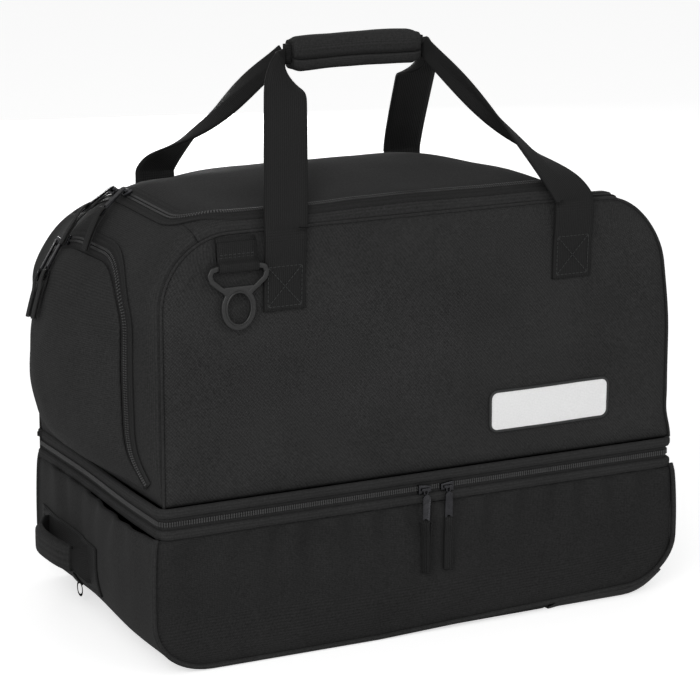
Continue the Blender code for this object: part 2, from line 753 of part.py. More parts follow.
for side, face, hand in ((-1, "front", -1), (1, "back", 1)):
    loop_y = side * (half_depth + 2 * gap + webbing_thickness + loop_thickness / 2)
    loop_place = (hand * loop_x, loop_y, loop_bar_height)
    swing = pivot("%s_loop_axis" % face, loop_place, upper)
    slot_half = loop_bar_width / 2 - loop_rim
    slot_foot = loop_rim - loop_bar_drop
    bar_slot = [(-slot_half, -loop_rim), (slot_half, -loop_rim)]
    bar_slot += [(loop_neck_width / 2, slot_foot), (-loop_neck_width / 2, slot_foot)]
    eye_hole = arc((0, -loop_ring_drop), loop_ring_radius - loop_rim, 0, 2 * math.pi * 15 / 16, 15)
    plate("%s_strap_loop" % face, [loop_outline(0), bar_slot, eye_hole], loop_thickness, "plastic",
          loop_place, facing_front, swing)
    tab_height = loop_tab_top - loop_bar_height + 2 * loop_rim
    tab_middle = (hand * loop_x, loop_tab_top - tab_height / 2)
    tab_outline = rounded_box(tab_middle, (loop_tab_width, tab_height), webbing_corner, 1)
    plate("%s_loop_tab" % face, [tab_outline], webbing_thickness, "webbing",
          (0, side * tail_y, 0), facing_front, upper)

# Blank label patch, low on the right of the front
patch_y = -half_depth - gap - patch_thickness / 2
plate("label_patch", [rounded_box(patch_centre, patch_size, patch_corner)], patch_thickness, "patch",
      (0, patch_y, 0), facing_front, upper)
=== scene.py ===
import math
import bmesh
import bpy
from mathutils import Matrix, Vector, noise


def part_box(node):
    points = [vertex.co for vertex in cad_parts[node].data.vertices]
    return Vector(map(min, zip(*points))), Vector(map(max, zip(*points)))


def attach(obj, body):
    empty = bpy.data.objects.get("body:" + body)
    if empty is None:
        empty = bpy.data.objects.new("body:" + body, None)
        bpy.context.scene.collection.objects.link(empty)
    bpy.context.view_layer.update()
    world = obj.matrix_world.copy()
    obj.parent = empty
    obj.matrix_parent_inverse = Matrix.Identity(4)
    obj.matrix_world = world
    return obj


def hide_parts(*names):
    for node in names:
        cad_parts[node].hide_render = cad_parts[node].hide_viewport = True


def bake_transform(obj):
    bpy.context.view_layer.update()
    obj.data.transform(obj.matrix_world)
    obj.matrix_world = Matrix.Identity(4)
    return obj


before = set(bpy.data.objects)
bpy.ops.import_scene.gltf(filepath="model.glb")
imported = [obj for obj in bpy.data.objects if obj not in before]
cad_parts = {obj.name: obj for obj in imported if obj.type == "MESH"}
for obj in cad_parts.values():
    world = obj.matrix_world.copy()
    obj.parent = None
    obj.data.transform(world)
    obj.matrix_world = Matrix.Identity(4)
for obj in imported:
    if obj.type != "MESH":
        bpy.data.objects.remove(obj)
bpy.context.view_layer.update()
print("frame loaded:", len(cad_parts), "nodes")

# Places that the CAD frame holds
panelLow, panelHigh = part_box("upper_front_panel")
halfWidth = panelHigh.x
halfDepth = -panelLow.y
upperBase = panelLow.z
topSeam = panelHigh.z
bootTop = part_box("boot_front_panel")[1].z
zipMiddle = (bootTop + upperBase) / 2

bagForm = {
    "shoulderRadius": 0.062,
    "baseRadius": 0.045,
    "seamInset": 0.0053,     # wall of the front panel and its clearance
    "edgeRise": 0.009,       # the gusset stands this far over its seams
    "topEdge": 0.006,        # and this much more along the top
    "topFade": 1.2,          # which is gone before the shoulders end
    "edgeRun": 0.016,
    "sideCrown": 0.007,
    "topCrown": 0.006,
    "leftFull": 0.011,       # the left end swells more than the right
    "rightFlat": 0.85,       # the right shoulder has lost its fullness
    "flatLead": 0.07,
    "flatRun": 0.06,
    "flatEnd": 0.05,
    "bulgeBlend": 0.045,
    "lidAngle": math.radians(25.6),
    "lidBorder": 0.0127,
    "lidFold": 0.040,
    "lidCorner": 0.034,
    "wall": 0.004,
}
shoulderRadius = bagForm["shoulderRadius"]
baseRadius = bagForm["baseRadius"]
straight = halfWidth - shoulderRadius
shoulderArc = shoulderRadius * math.pi / 2
shoulderHeight = topSeam - shoulderRadius
gussetEdge = halfDepth - bagForm["seamInset"]
lidEdge = straight + shoulderRadius * bagForm["lidAngle"]
lidFront = bagForm["lidBorder"] - gussetEdge
endFoot = straight + shoulderArc + shoulderHeight - upperBase
acrossX = Vector((1, 0, 0))
acrossY = Vector((0, 1, 0))
upward = Vector((0, 0, 1))
faces = ((-1, "front"), (1, "back"))
hands = ((-1, "left"), (1, "right"))


def ease(t):
    t = min(1.0, max(0.0, t))
    return t * t * (3 - 2 * t)


# From 0 at start, softly, to 1 one run further on
def rampUp(value, start, run):
    return ease((value - start) / run)


def spread(first, last, steps):
    return [first + (last - first) * step / steps for step in range(steps + 1)]


def powered(value, power):
    return math.copysign(abs(value) ** power, value)


def crumple(point, size, seed):
    return noise.noise(Vector((point.x / size + seed, point.y / size - seed, point.z / size + 2 * seed)))


# Waves of cloth, each row a height, a size and a seed
def ripple(point, rows):
    return sum(height * crumple(point, size, seed) for height, size, seed in rows)


# The empty bag leans in at its right shoulder, and its top sags towards the back, most at the two shoulders
slump = {"reachFrom": 0.10, "reach": 0.15, "heightFrom": 0.24, "height": 0.12, "inward": 0.010, "down": 0.004,
         "backDown": 0.030, "backReachFrom": 0.05, "backReach": 0.15, "backFrom": -0.13, "back": 0.16,
         "edgeHold": 0.8, "holdFrom": 0.05, "hold": 0.08, "tuck": 0.005, "tuckHeight": 0.030}
sag = {"reachFrom": 0.08, "reach": 0.15, "backFrom": -0.01, "back": 0.13, "heightFrom": 0.22, "height": 0.14,
       "down": 0.018, "overall": 0.013}


def settle(point):
    right = rampUp(point.x, slump["reachFrom"], slump["reach"])
    high = rampUp(point.z, slump["heightFrom"], slump["height"])
    low = rampUp(point.z, upperBase, slump["tuckHeight"])
    move = right * (slump["inward"] * high + slump["tuck"] * low)
    rightBack = rampUp(point.x, slump["backReachFrom"], slump["backReach"])
    rightBack *= rampUp(point.y, slump["backFrom"], slump["back"])
    rightBack *= 1 - slump["edgeHold"] * rampUp(point.y, slump["holdFrom"], slump["hold"])
    back = rampUp(point.y, sag["backFrom"], sag["back"]) * rampUp(point.z, sag["heightFrom"], sag["height"])
    left = rampUp(-point.x, sag["reachFrom"], sag["reach"]) * back
    drop = high * (slump["down"] * right + slump["backDown"] * rightBack)
    drop += sag["down"] * left + sag["overall"] * back
    return Vector((point.x - move, point.y, point.z - drop))


# Upper gusset: along runs from the middle of the top round the shoulders, q is the place across the depth
def outlinePoint(along):
    side = -1 if along < 0 else 1
    reach = abs(along)
    if reach <= straight:
        return Vector((along, 0, topSeam)), upward.copy()
    if reach <= straight + shoulderArc:
        angle = (reach - straight) / shoulderRadius
        normal = Vector((side * math.sin(angle), 0, math.cos(angle)))
        return Vector((side * straight, 0, shoulderHeight)) + normal * shoulderRadius, normal
    drop = reach - straight - shoulderArc
    return Vector((side * halfWidth, 0, shoulderHeight - drop)), acrossX * side


def bulge(along, q):
    overrun = max(0.0, abs(q) - (gussetEdge - bagForm["edgeRun"])) / bagForm["edgeRun"]
    overTop = 1 - ease((abs(along) - straight) / shoulderArc * bagForm["topFade"])
    edge = bagForm["edgeRise"] + bagForm["topEdge"] * overTop
    across = 1 - (q / gussetEdge) ** 2
    rise = edge * math.sqrt(max(0.0, 1 - overrun ** 2)) + bagForm["sideCrown"] * across
    if abs(along) < lidEdge:
        rise += bagForm["topCrown"] * across * (1 - (along / lidEdge) ** 2)
    if along < -lidEdge:
        down = min(1.0, (-along - lidEdge) / (endFoot - lidEdge))
        rise += bagForm["leftFull"] * across * math.sin(math.pi * down)
    flat = rampUp(along, straight - bagForm["flatLead"], bagForm["flatRun"])
    flat *= 1 - rampUp(along, straight + shoulderArc / 2, bagForm["flatEnd"])
    rise *= 1 - bagForm["rightFlat"] * flat
    share = min(1.0, max(0.0, (outlinePoint(along)[0].z - upperBase) / bagForm["bulgeBlend"]))
    return rise * share * (2 - share)


# Shallow dents all over, but not where the sliders lie
clothWave = {"long": 0.0030, "longForm": (0.110, 3.1), "short": 0.0011, "shortForm": (0.038, 7.7),
             "calmReach": 0.045}
calmSpots = [Vector((-0.2254, 0.002, 0.382)), Vector((-0.2615, 0.034, 0.344))]


def dent(point):
    wave = clothWave["long"] * (0.5 + 0.5 * crumple(point, *clothWave["longForm"]))
    wave += clothWave["short"] * (0.5 + 0.5 * crumple(point, *clothWave["shortForm"]))
    for spot in calmSpots:
        wave *= 1 - math.exp(-((point - spot).length / clothWave["calmReach"]) ** 2)
    return wave


def upperSkin(along, q, lift=0.0):
    place, normal = outlinePoint(along)
    rise = bulge(along, q)
    rest = place + normal * rise + acrossY * q
    fade = min(1.0, rise / bagForm["edgeRise"])
    return settle(rest + normal * (lift - dent(rest) * fade))


# Materials
def hexColor(text):
    parts = [int(text[i:i + 2], 16) / 255 for i in (1, 3, 5)]
    linear = [c / 12.92 if c <= 0.04045 else ((c + 0.055) / 1.055) ** 2.4 for c in parts]
    return (*linear, 1.0)


def addNode(tree, kind, links=None, **settings):
    node = tree.nodes.new(kind)
    for name, value in settings.items():
        setattr(node, name, value)
    for socket, value in (links or {}).items():
        if isinstance(value, bpy.types.NodeSocket):
            tree.links.new(value, node.inputs[socket])
        else:
            node.inputs[socket].default_value = value
    return node


def startMaterial(name, **shaderValues):
    material = bpy.data.materials.new(name)
    material.use_nodes = True
    tree = material.node_tree
    shader = tree.nodes["Principled BSDF"]
    for socket, value in shaderValues.items():
        shader.inputs[socket.replace("_", " ")].default_value = value
    return material, tree, shader


def bandScale(period):
    return 2 * math.pi / 20 / period     # the wave texture turns once in this many metres


def mathNode(tree, operation, *values):
    return addNode(tree, "ShaderNodeMath", dict(enumerate(values)), operation=operation).outputs[0]


def noiseNode(tree, place, size, detail):
    links = {"Vector": place, "Scale": 1 / size, "Detail": detail}
    return addNode(tree, "ShaderNodeTexNoise", links).outputs["Fac"]


def bandNode(tree, place, direction, period, **inputs):
    links = {"Vector": place, "Scale": bandScale(period), **inputs}
    return addNode(tree, "ShaderNodeTexWave", links, bands_direction=direction).outputs["Fac"]


# What every finish ends with: two tones mixed, and a relief
def dress(tree, shader, tone, dark, light, height, strength, distance):
    ramp = addNode(tree, "ShaderNodeMix", {"Factor": tone, "A": hexColor(dark), "B": hexColor(light)},
                   data_type="RGBA")
    tree.links.new(ramp.outputs["Result"], shader.inputs["Base Color"])
    relief = addNode(tree, "ShaderNodeBump", {"Height": height, "Strength": strength, "Distance": distance})
    tree.links.new(relief.outputs["Normal"], shader.inputs["Normal"])


def roughen(tree, shader, patches, span, roughness):
    rough = mathNode(tree, "MULTIPLY_ADD", patches, span, roughness - span / 2)
    tree.links.new(rough, shader.inputs["Roughness"])


# Woven polyester: crossing threads on the cloth's own map, a soft sheen and faint patches of wear
weaveForm = {"sheen": 0.02, "sheenRough": 0.5, "shine": 0.12, "weftPitch": 1.3, "stray": 0.6,
             "patchSize": 0.060, "grainSize": 0.0016, "patchTone": 0.45, "weaveTone": 0.45, "baseTone": 0.12,
             "speckle": 1.1, "roughSpan": 0.16, "grainHeight": 0.5, "relief": 0.25}


def wovenCloth(name, dark, light, thread, slant, bump, roughness):
    material, tree, shader = startMaterial(name, Sheen_Weight=weaveForm["sheen"],
                                           Sheen_Roughness=weaveForm["sheenRough"],
                                           Specular_IOR_Level=weaveForm["shine"])
    place = addNode(tree, "ShaderNodeUVMap", uv_map="cloth").outputs["UV"]
    turned = addNode(tree, "ShaderNodeMapping",
                     {"Vector": place, "Rotation": (0, 0, slant)}).outputs["Vector"]
    warp = bandNode(tree, turned, "X", thread, Detail=1.0, Distortion=weaveForm["stray"])
    weft = bandNode(tree, turned, "Y", thread * weaveForm["weftPitch"], Detail=1.0,
                    Distortion=weaveForm["stray"])
    weave = mathNode(tree, "MULTIPLY", warp, weft)
    solid = addNode(tree, "ShaderNodeTexCoord").outputs["Object"]
    patches = noiseNode(tree, solid, weaveForm["patchSize"], 4.0)
    grain = noiseNode(tree, solid, weaveForm["grainSize"], 2.0)
    speckle = mathNode(tree, "SUBTRACT", grain, 0.5)
    tone = weaveForm["baseTone"]
    for layer, weight in ((patches, "patchTone"), (weave, "weaveTone"), (speckle, "speckle")):
        tone = mathNode(tree, "MULTIPLY_ADD", layer, weaveForm[weight], tone)
    height = mathNode(tree, "MULTIPLY_ADD", grain, weaveForm["grainHeight"], weave)
    dress(tree, shader, tone, dark, light, height, bump, thread * weaveForm["relief"])
    roughen(tree, shader, patches, weaveForm["roughSpan"], roughness)
    return material


# Ribbed nylon webbing: even ribs along the strap and fine cross threads
ribForm = {"sheen": 0.02, "sheenRough": 0.5, "shine": 0.15, "stray": 0.5, "threadShare": 0.5, "tone": 0.6,
           "roughness": 0.62, "bump": 0.55, "relief": 0.3}


def ribbedWebbing(name, dark, light, rib, cross):
    material, tree, shader = startMaterial(name, Sheen_Weight=ribForm["sheen"],
                                           Sheen_Roughness=ribForm["sheenRough"],
                                           Specular_IOR_Level=ribForm["shine"],
                                           Roughness=ribForm["roughness"])
    place = addNode(tree, "ShaderNodeUVMap", uv_map="cloth").outputs["UV"]
    ribs = bandNode(tree, place, "Y", rib)
    threads = bandNode(tree, place, "X", cross, Distortion=ribForm["stray"])
    weave = mathNode(tree, "MULTIPLY_ADD", threads, ribForm["threadShare"], ribs)
    tone = mathNode(tree, "MULTIPLY", weave, ribForm["tone"])
    dress(tree, shader, tone, dark, light, weave, ribForm["bump"], rib * ribForm["relief"])
    return material


# Cast or moulded hard pieces: a faint mottled gloss, with paler worn spots
hardForm = {"mottle": 8, "roughSpan": 0.2, "relief": 0.2}


def hardFinish(name, dark, light, metallic, roughness, grit, bump):
    material, tree, shader = startMaterial(name, Metallic=metallic)
    solid = addNode(tree, "ShaderNodeTexCoord").outputs["Object"]
    mottle = noiseNode(tree, solid, grit * hardForm["mottle"], 5.0)
    fine = noiseNode(tree, solid, grit, 2.0)
    dress(tree, shader, mottle, dark, light, fine, bump, grit * hardForm["relief"])
    roughen(tree, shader, mottle, hardForm["roughSpan"], roughness)
    return material


finish = {
    # Twill on the big panels: the real threads are about 0.5 mm, drawn coarser so that they show
    "twill": wovenCloth("twillPolyester", "#1c1c1c", "#3b3b3b", 0.0017, math.radians(45), 0.5, 0.78),
    # Plain oxford weave on ends, lid and boot compartment, a little finer than the twill
    "oxford": wovenCloth("oxfordPolyester", "#1d1d1d", "#393939", 0.0013, 0.0, 0.35, 0.80),
    # Padded fronts of the boot compartment: the same oxford drawn darker, a painted shade for the lower
    # fronts
    "padded": wovenCloth("paddedOxfordShaded", "#191919", "#323232", 0.0013, 0.0, 0.35, 0.82),
    # Smooth lining inside, with a slight gloss
    "lining": wovenCloth("liningTaffeta", "#1b1b1b", "#2a2a2a", 0.0010, 0.0, 0.2, 0.6),
    # Woven zip tape, matt and even
    "tape": wovenCloth("zipTape", "#1a1a1a", "#2d2d2d", 0.0011, 0.0, 0.45, 0.66),
    # Carry webbing: ribs 1.8 mm apart that catch the light along the strap
    "webbing": ribbedWebbing("ribbedWebbing", "#161616", "#272727", 0.0018, 0.0013),
    # Nylon zip coil, smooth and a little glossy
    "coil": hardFinish("nylonCoil", "#2c2c2c", "#474747", 0.0, 0.34, 0.0012, 0.1),
    # Die-cast zinc with a black nickel plating, dark with soft highlights
    "gunmetal": hardFinish("blackNickel", "#303032", "#57575a", 1.0, 0.28, 0.0008, 0.05),
    # Moulded nylon, lightly textured
    "plastic": hardFinish("mouldedNylon", "#1a1a1a", "#2d2d2d", 0.0, 0.42, 0.0009, 0.12),
    # Thread of the stitching and bound edges
    "thread": hardFinish("bondedThread", "#252626", "#343535", 0.0, 0.7, 0.0008, 0.2),
    # White woven patch
    "patch": wovenCloth("whitePatch", "#f0f0f0", "#ffffff", 0.0011, 0.0, 0.3, 0.75),
}
print("materials ready:", len(finish))


# A grid bent into a cloth by place(u, v), both from 0 to 1; flat is the cloth's size for its own map
def clothGrid(uSteps, vSteps, place, flat, shape=None):
    shape = shape or bmesh.new()
    layer = shape.loops.layers.uv.get("cloth") or shape.loops.layers.uv.new("cloth")
    made = bmesh.ops.create_grid(shape, x_segments=uSteps, y_segments=vSteps, size=0.5)["verts"]
    for face in {face for vert in made for face in vert.link_faces}:
        for loop in face.loops:
            loop[layer].uv = ((loop.vert.co.x + 0.5) * flat[0], (loop.vert.co.y + 0.5) * flat[1])
    for vert in made:
        vert.co = place(vert.co.x + 0.5, vert.co.y + 0.5)
    return shape


# A closed bar of the given cross-section points, swept through places of at(u, across, out)
def sweptBar(steps, section, at, length, shape=None):
    shape = shape or bmesh.new()
    before = set(shape.verts)
    loop = section + section[:1]

    def place(u, v):
        share = v * (len(loop) - 1)
        low = min(int(share + 1e-6), len(loop) - 2)
        part = share - low
        across = loop[low][0] + (loop[low + 1][0] - loop[low][0]) * part
        out = loop[low][1] + (loop[low + 1][1] - loop[low][1]) * part
        return at(u, across, out)

    girth = sum(math.dist(a, b) for a, b in zip(loop, loop[1:]))
    clothGrid(steps, len(section), place, (length, girth), shape)
    fresh = [vert for vert in shape.verts if vert not in before]
    bmesh.ops.remove_doubles(shape, verts=fresh, dist=1e-6)
    bmesh.ops.holes_fill(shape, edges=[edge for edge in shape.edges if edge.is_boundary], sides=0)
    return shape


# Cross-sections: a round one, and a flat one whose corners square up as the powers fall
def ringSection(radius, sides):
    angles = [2 * math.pi * side / sides for side in range(sides)]
    return [(radius * math.cos(a), radius * math.sin(a)) for a in angles]


def flatSection(wide, thick, widePower=0.5, thickPower=0.5, sides=14):
    angles = [2 * math.pi * side / sides for side in range(sides)]
    return [(powered(math.cos(a), widePower) * wide / 2, powered(math.sin(a), thickPower) * thick / 2)
            for a in angles]


# A line through points, read by share of its length
class Route:
    def __init__(self, points, closed=False):
        self.points = [Vector(point) for point in points]
        if closed:
            self.points.append(self.points[0])
        self.closed = closed
        self.marks = [0.0]
        for near, far in zip(self.points, self.points[1:]):
            self.marks.append(self.marks[-1] + (far - near).length)
        self.length = self.marks[-1]

    def at(self, share):
        share = share % 1.0 if self.closed else min(1.0, max(0.0, share))
        target = share * self.length
        index = 0
        while index < len(self.marks) - 2 and self.marks[index + 1] < target:
            index += 1
        span = self.marks[index + 1] - self.marks[index]
        part = (target - self.marks[index]) / span if span else 0.0
        return self.points[index].lerp(self.points[index + 1], part)

    def heading(self, share, reach=0.004):
        step = min(0.5, reach / self.length)
        return (self.at(share + step) - self.at(share - step)).normalized()


def addBlock(shape, centre, along, across, out, size):
    turn = Matrix((along, across, out)).transposed().to_4x4()
    scale = Matrix.Diagonal((*size, 1))
    bmesh.ops.create_cube(shape, size=1, matrix=Matrix.Translation(centre) @ turn @ scale)


# A row of stitches between two places on a face
stitchForm = {"pitch": 0.0036, "size": (0.0025, 0.0006, 0.0004)}


def stitchRow(shape, start, end, out):
    run = end - start
    ahead = run.normalized()
    count = max(1, int(run.length / stitchForm["pitch"]))
    for index in range(count):
        addBlock(shape, start + run * ((index + 0.5) / count), ahead, out.cross(ahead), out,
                 stitchForm["size"])


def makePiece(name, shape, look, body, nodes=(), wall=None, smooth=True, lining="lining", sharp=None,
              rides=True):
    if wall is None:
        bmesh.ops.recalc_face_normals(shape, faces=shape.faces)
    mesh = bpy.data.meshes.new(name)
    shape.to_mesh(mesh)
    shape.free()
    mesh.materials.append(finish[look])
    if smooth:
        mesh.shade_smooth()
    if sharp:
        mesh.set_sharp_from_angle(angle=math.radians(sharp))
    piece = bpy.data.objects.new(name, mesh)
    bpy.context.scene.collection.objects.link(piece)
    if wall:
        mesh.materials.append(finish[lining])
        shell = piece.modifiers.new("wall", "SOLIDIFY")
        shell.thickness = wall
        shell.offset = -1
        shell.material_offset = 1
        shell.material_offset_rim = 0
    if rides:
        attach(piece, body)
    if nodes:
        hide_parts(*nodes)
    return piece


# A cloth with a wall behind its face; outward is a direction, or gives one for a face's centre
def clothPiece(name, uSteps, vSteps, place, flat, look, body, nodes, outward, wall=bagForm["wall"],
               rides=True, lining="lining"):
    shape = clothGrid(uSteps, vSteps, place, flat)
    shape.normal_update()
    facing = 0.0
    for face in shape.faces:
        way = outward(face.calc_center_median()) if callable(outward) else outward
        facing += face.normal.dot(way) * face.calc_area()
    if facing < 0:
        bmesh.ops.reverse_faces(shape, faces=shape.faces)
    return makePiece(name, shape, look, body, nodes, wall, lining=lining, rides=rides)


# The base bows up towards the right end, where two skids stand under it
skidLow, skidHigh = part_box("base_skid_front")
skidForm = {"lift": 0.0098, "from": -0.05, "run": 0.29, "fade": 0.100, "front": 0.0025,
            "angle": math.radians(62), "wide": 0.070, "thick": 0.003, "widePower": 0.3, "thickPower": 0.5,
            "sides": 28, "steps": 50, "edgeFrom": 0.75, "edgeDeep": 0.9, "endThin": 0.35, "endRun": 0.10}


def baseLift(x, z):
    along = min(1.0, max(0.0, (x - skidForm["from"]) / skidForm["run"]))
    return skidForm["lift"] * along * (1 - ease(z / skidForm["fade"]))


# The left front corner of the boot compartment is pushed out
flare = {"size": 0.011, "from": 0.15, "reach": 0.10, "frontFrom": 0.06, "front": 0.16}


def cornerFlare(point, share=1.0):
    left = rampUp(-point.x, flare["from"], flare["reach"])
    front = ease((flare["frontFrom"] - point.y) / flare["front"])
    return point - acrossX * (share * flare["size"] * left * front)


# Boot compartment, front and back: padded panels, full between their seams and puckered under the zip
bootPanel = {"trim": 0.0006, "recess": 0.0014, "proud": 0.0014, "rollIn": 0.016, "puckerPitch": 0.034,
             "pucker": 0.0090, "puckerDepth": 0.070, "puckerStray": (3, 0.07, 1.3),
             "puckerPatch": (0.09, 5.5), "uSteps": 130, "vSteps": 46, "spread": 0.005,
             "leftSpread": 0.6, "turnShare": 0.34, "fill": 0.4, "slack": 0.0010,
             "waves": ((0.0050, 0.10, 2.2), (0.0016, 0.035, 9.1))}
bootReach = halfWidth - baseRadius
panelRadius = baseRadius - bootPanel["trim"]


def bootSpread(x, z):
    belly = math.sin(math.pi * min(1.0, max(0.0, z / bootTop))) ** 0.5
    return bootPanel["spread"] * belly * (1 if x > 0 else bootPanel["leftSpread"])


seamSteep = 2.2


# How full a panel is this far in from its nearest seam
def fullness(edge, rollIn):
    return 1 - math.exp(-max(0.0, edge) / rollIn * seamSteep)


def bootPanelPlace(side):
    def place(u, v):
        turn = bootPanel["turnShare"]
        if v < turn:
            z = baseRadius - panelRadius * math.cos(v / turn * math.pi / 2)
        else:
            z = baseRadius + (bootTop - baseRadius) * (v - turn) / (1 - turn)
        drop = min(panelRadius, max(0.0, baseRadius - z))
        wide = bootReach + math.sqrt(max(0.0, panelRadius ** 2 - drop ** 2))
        x = (2 * u - 1) * wide
        edge = min(wide - abs(x), bootTop - z, z - bootPanel["trim"])
        if abs(x) > bootReach and z < baseRadius:
            edge = min(edge, panelRadius - math.hypot(abs(x) - bootReach, baseRadius - z))
        spot = Vector((x, side * halfDepth, z))
        nearTop = math.exp(-(bootTop - z) / bootPanel["puckerDepth"] * 2)
        stray = ripple(spot, [bootPanel["puckerStray"]])
        fold = math.sin(2 * math.pi * x / bootPanel["puckerPitch"] + stray)
        fold *= bootPanel["pucker"] * nearTop * (0.5 + 0.5 * crumple(spot, *bootPanel["puckerPatch"]))
        wave = ripple(spot, bootPanel["waves"]) - bootPanel["slack"]
        swell = (bootPanel["recess"] + bootPanel["proud"] + wave + fold) * fullness(edge, bootPanel["rollIn"])
        out = halfDepth - bootPanel["recess"] + swell
        return cornerFlare(Vector((x * (1 + bootSpread(x, z) / wide), side * out, z + baseLift(x, z))))
    return place


# The boot fronts take the padded oxford, whose darker tone is painted shade
for side, face in faces:
    padding = clothPiece("boot_%s_padding" % face, bootPanel["uSteps"], bootPanel["vSteps"],
                         bootPanelPlace(side), (2 * halfWidth, bootTop), "padded", "boot_compartment",
                         ["boot_%s_panel" % face], acrossY * side)

# Boot compartment gusset: one band down the left end, under the base and up the right end
bootBand = {"puff": 0.0045, "edgeRun": 0.008, "steps": 150, "acrossSteps": 44, "skidInset": 0.0033,
            "wall": 0.004, "edgeGap": 0.0008, "edgeDense": 1.6,
            "waves": ((0.0022, 0.06, 4.4), (0.0007, 0.025, 6.1)),
            "calmFoot": 0.012, "calmRun": 0.05, "pucker": 0.0018, "puckerPitch": 0.040, "puckerDepth": 0.03,
            "puckerStray": (2, 0.05, 8.0), "baseGap": 0.0006, "insetRun": 0.006, "insetEdge": 0.004,
            "heart": 0.07, "square": 6}
bootEdge = halfDepth - bootBand["edgeGap"]


def bootOutline():
    turns = spread(0, math.pi / 2, 10)[1:]
    points = [(-halfWidth, z) for z in spread(bootTop, baseRadius, 10)]
    points += [(-bootReach - baseRadius * math.cos(a), baseRadius - baseRadius * math.sin(a)) for a in turns]
    points += [(x, 0) for x in spread(-bootReach, bootReach, 24)[1:]]
    points += [(bootReach + baseRadius * math.sin(a), baseRadius - baseRadius * math.cos(a)) for a in turns]
    points += [(halfWidth, z) for z in spread(baseRadius, bootTop, 10)[1:]]
    return Route([(x + math.copysign(bootSpread(x, z), x), z, 0) for x, z in points])


bandRoute = bootOutline()


def bandNormal(share):
    heading = bandRoute.heading(share)
    return Vector((heading.y, 0, -heading.x))     # outwards all round the band


def bandPoint(u, v):
    spot = bandRoute.at(u)
    q = bootEdge * math.copysign(1 - (1 - abs(2 * v - 1)) ** bootBand["edgeDense"], v - 0.5)
    base = Vector((spot.x, q, spot.y))
    overrun = max(0.0, abs(q) - bootEdge + bootBand["edgeRun"]) / bootBand["edgeRun"]
    lift = baseLift(spot.x, spot.y) * (1 - math.sqrt(max(0.0, 1 - overrun ** 2)))
    underSkid = ease((spot.x - skidLow.x) / bootBand["insetRun"] + 1)
    underSkid *= ease((skidHigh.z - spot.y) / bootBand["insetRun"] + 1)
    underSkid *= ease((abs(q) + skidHigh.y) / bootBand["insetEdge"] + 1)
    rise = rampUp(spot.y, bootBand["calmFoot"], bootBand["calmRun"])
    full = 1 - (abs(q) / bootEdge) ** bootBand["square"]
    nearTop = math.exp(-(bootTop - spot.y) / bootBand["puckerDepth"])
    stray = ripple(base, [bootBand["puckerStray"]])
    fold = math.sin(2 * math.pi * q / bootBand["puckerPitch"] + stray)
    wave = bootBand["puff"] * full + ripple(base, bootBand["waves"]) + bootBand["pucker"] * nearTop * fold
    out = wave * rise * full - bootBand["skidInset"] * underSkid
    return cornerFlare(base + bandNormal(u) * out + upward * (bootBand["baseGap"] * (1 - rise) + lift))


clothPiece("boot_gusset", bootBand["steps"], bootBand["acrossSteps"], bandPoint,
           (bandRoute.length, 2 * bootEdge), "oxford", "boot_compartment",
           ["boot_left_panel", "base_panel", "boot_right_panel"],
           lambda centre: centre - upward * bootBand["heart"], bootBand["wall"])
print("boot compartment done")

# Piping round the boot panels
piping = {"radius": 0.0021, "sides": 10, "out": 0.0012, "up": 0.0022, "inset": 0.0006, "steps": 200}


def pipingAt(side):
    def at(u, across, out):
        spot = bandRoute.at(u)
        height = spot.y + piping["up"] + baseLift(spot.x, spot.y)
        centre = Vector((spot.x, side * (halfDepth + piping["out"]), height))
        return cornerFlare(centre + bandNormal(u) * (across - piping["inset"]) + acrossY * side * out)
    return at


for side, face in faces:
    section = ringSection(piping["radius"], piping["sides"])
    shape = sweptBar(piping["steps"], section, pipingAt(side), bandRoute.length)
    makePiece("boot_%s_piping" % face, shape, "oxford", "boot_compartment", ["%s_piping" % face])

# Upper front and back panels, set in at the seam and full in the middle
upperPanel = {"recess": 0.0053, "rollIn": 0.013, "uSteps": 130, "vSteps": 84, "turnShare": 0.66,
              "wave": 0.0022, "waveForm": (0.11, 1.7), "crease": 0.0008, "creaseForm": (0.04, 3.9)}


def upperHalfWidth(z):
    rise = max(0.0, z - shoulderHeight)
    return straight + math.sqrt(max(0.0, shoulderRadius ** 2 - rise ** 2))


def panelOut(side, x, z):
    edge = min(upperHalfWidth(z) - abs(x), topSeam - z, z - upperBase)
    if abs(x) > straight and z > shoulderHeight:
        edge = min(edge, shoulderRadius - math.hypot(abs(x) - straight, z - shoulderHeight))
    spot = Vector((x, side * halfDepth, z))
    wave = upperPanel["wave"] * (0.5 + 0.5 * crumple(spot, *upperPanel["waveForm"]))
    wave += upperPanel["crease"] * (0.5 + crumple(spot, *upperPanel["creaseForm"]))
    recess = upperPanel["recess"]
    return halfDepth - recess + (recess - wave) * fullness(edge, upperPanel["rollIn"])


def upperPanelPlace(side):
    def place(u, v):
        turn = upperPanel["turnShare"]
        if v > turn:
            z = shoulderHeight + shoulderRadius * math.sin((v - turn) / (1 - turn) * math.pi / 2)
        else:
            z = upperBase + (shoulderHeight - upperBase) * v / turn
        x = (2 * u - 1) * upperHalfWidth(z)
        return settle(Vector((x, side * panelOut(side, x, z), z)))
    return place


for side, face in faces:
    clothPiece("upper_%s_cloth" % face, upperPanel["uSteps"], upperPanel["vSteps"], upperPanelPlace(side),
               (2 * halfWidth, topSeam - upperBase), "twill", "upper_compartment", ["upper_%s_panel" % face],
               acrossY * side)

# Rolled seam between the panels and the gusset
seamRoll = {"radius": 0.0013, "sides": 8, "out": 0.0007, "over": 0.0004, "steps": 220}
seamRoute = Route([(outlinePoint(a)[0].x, outlinePoint(a)[0].z, 0) for a in spread(-endFoot, endFoot, 160)])


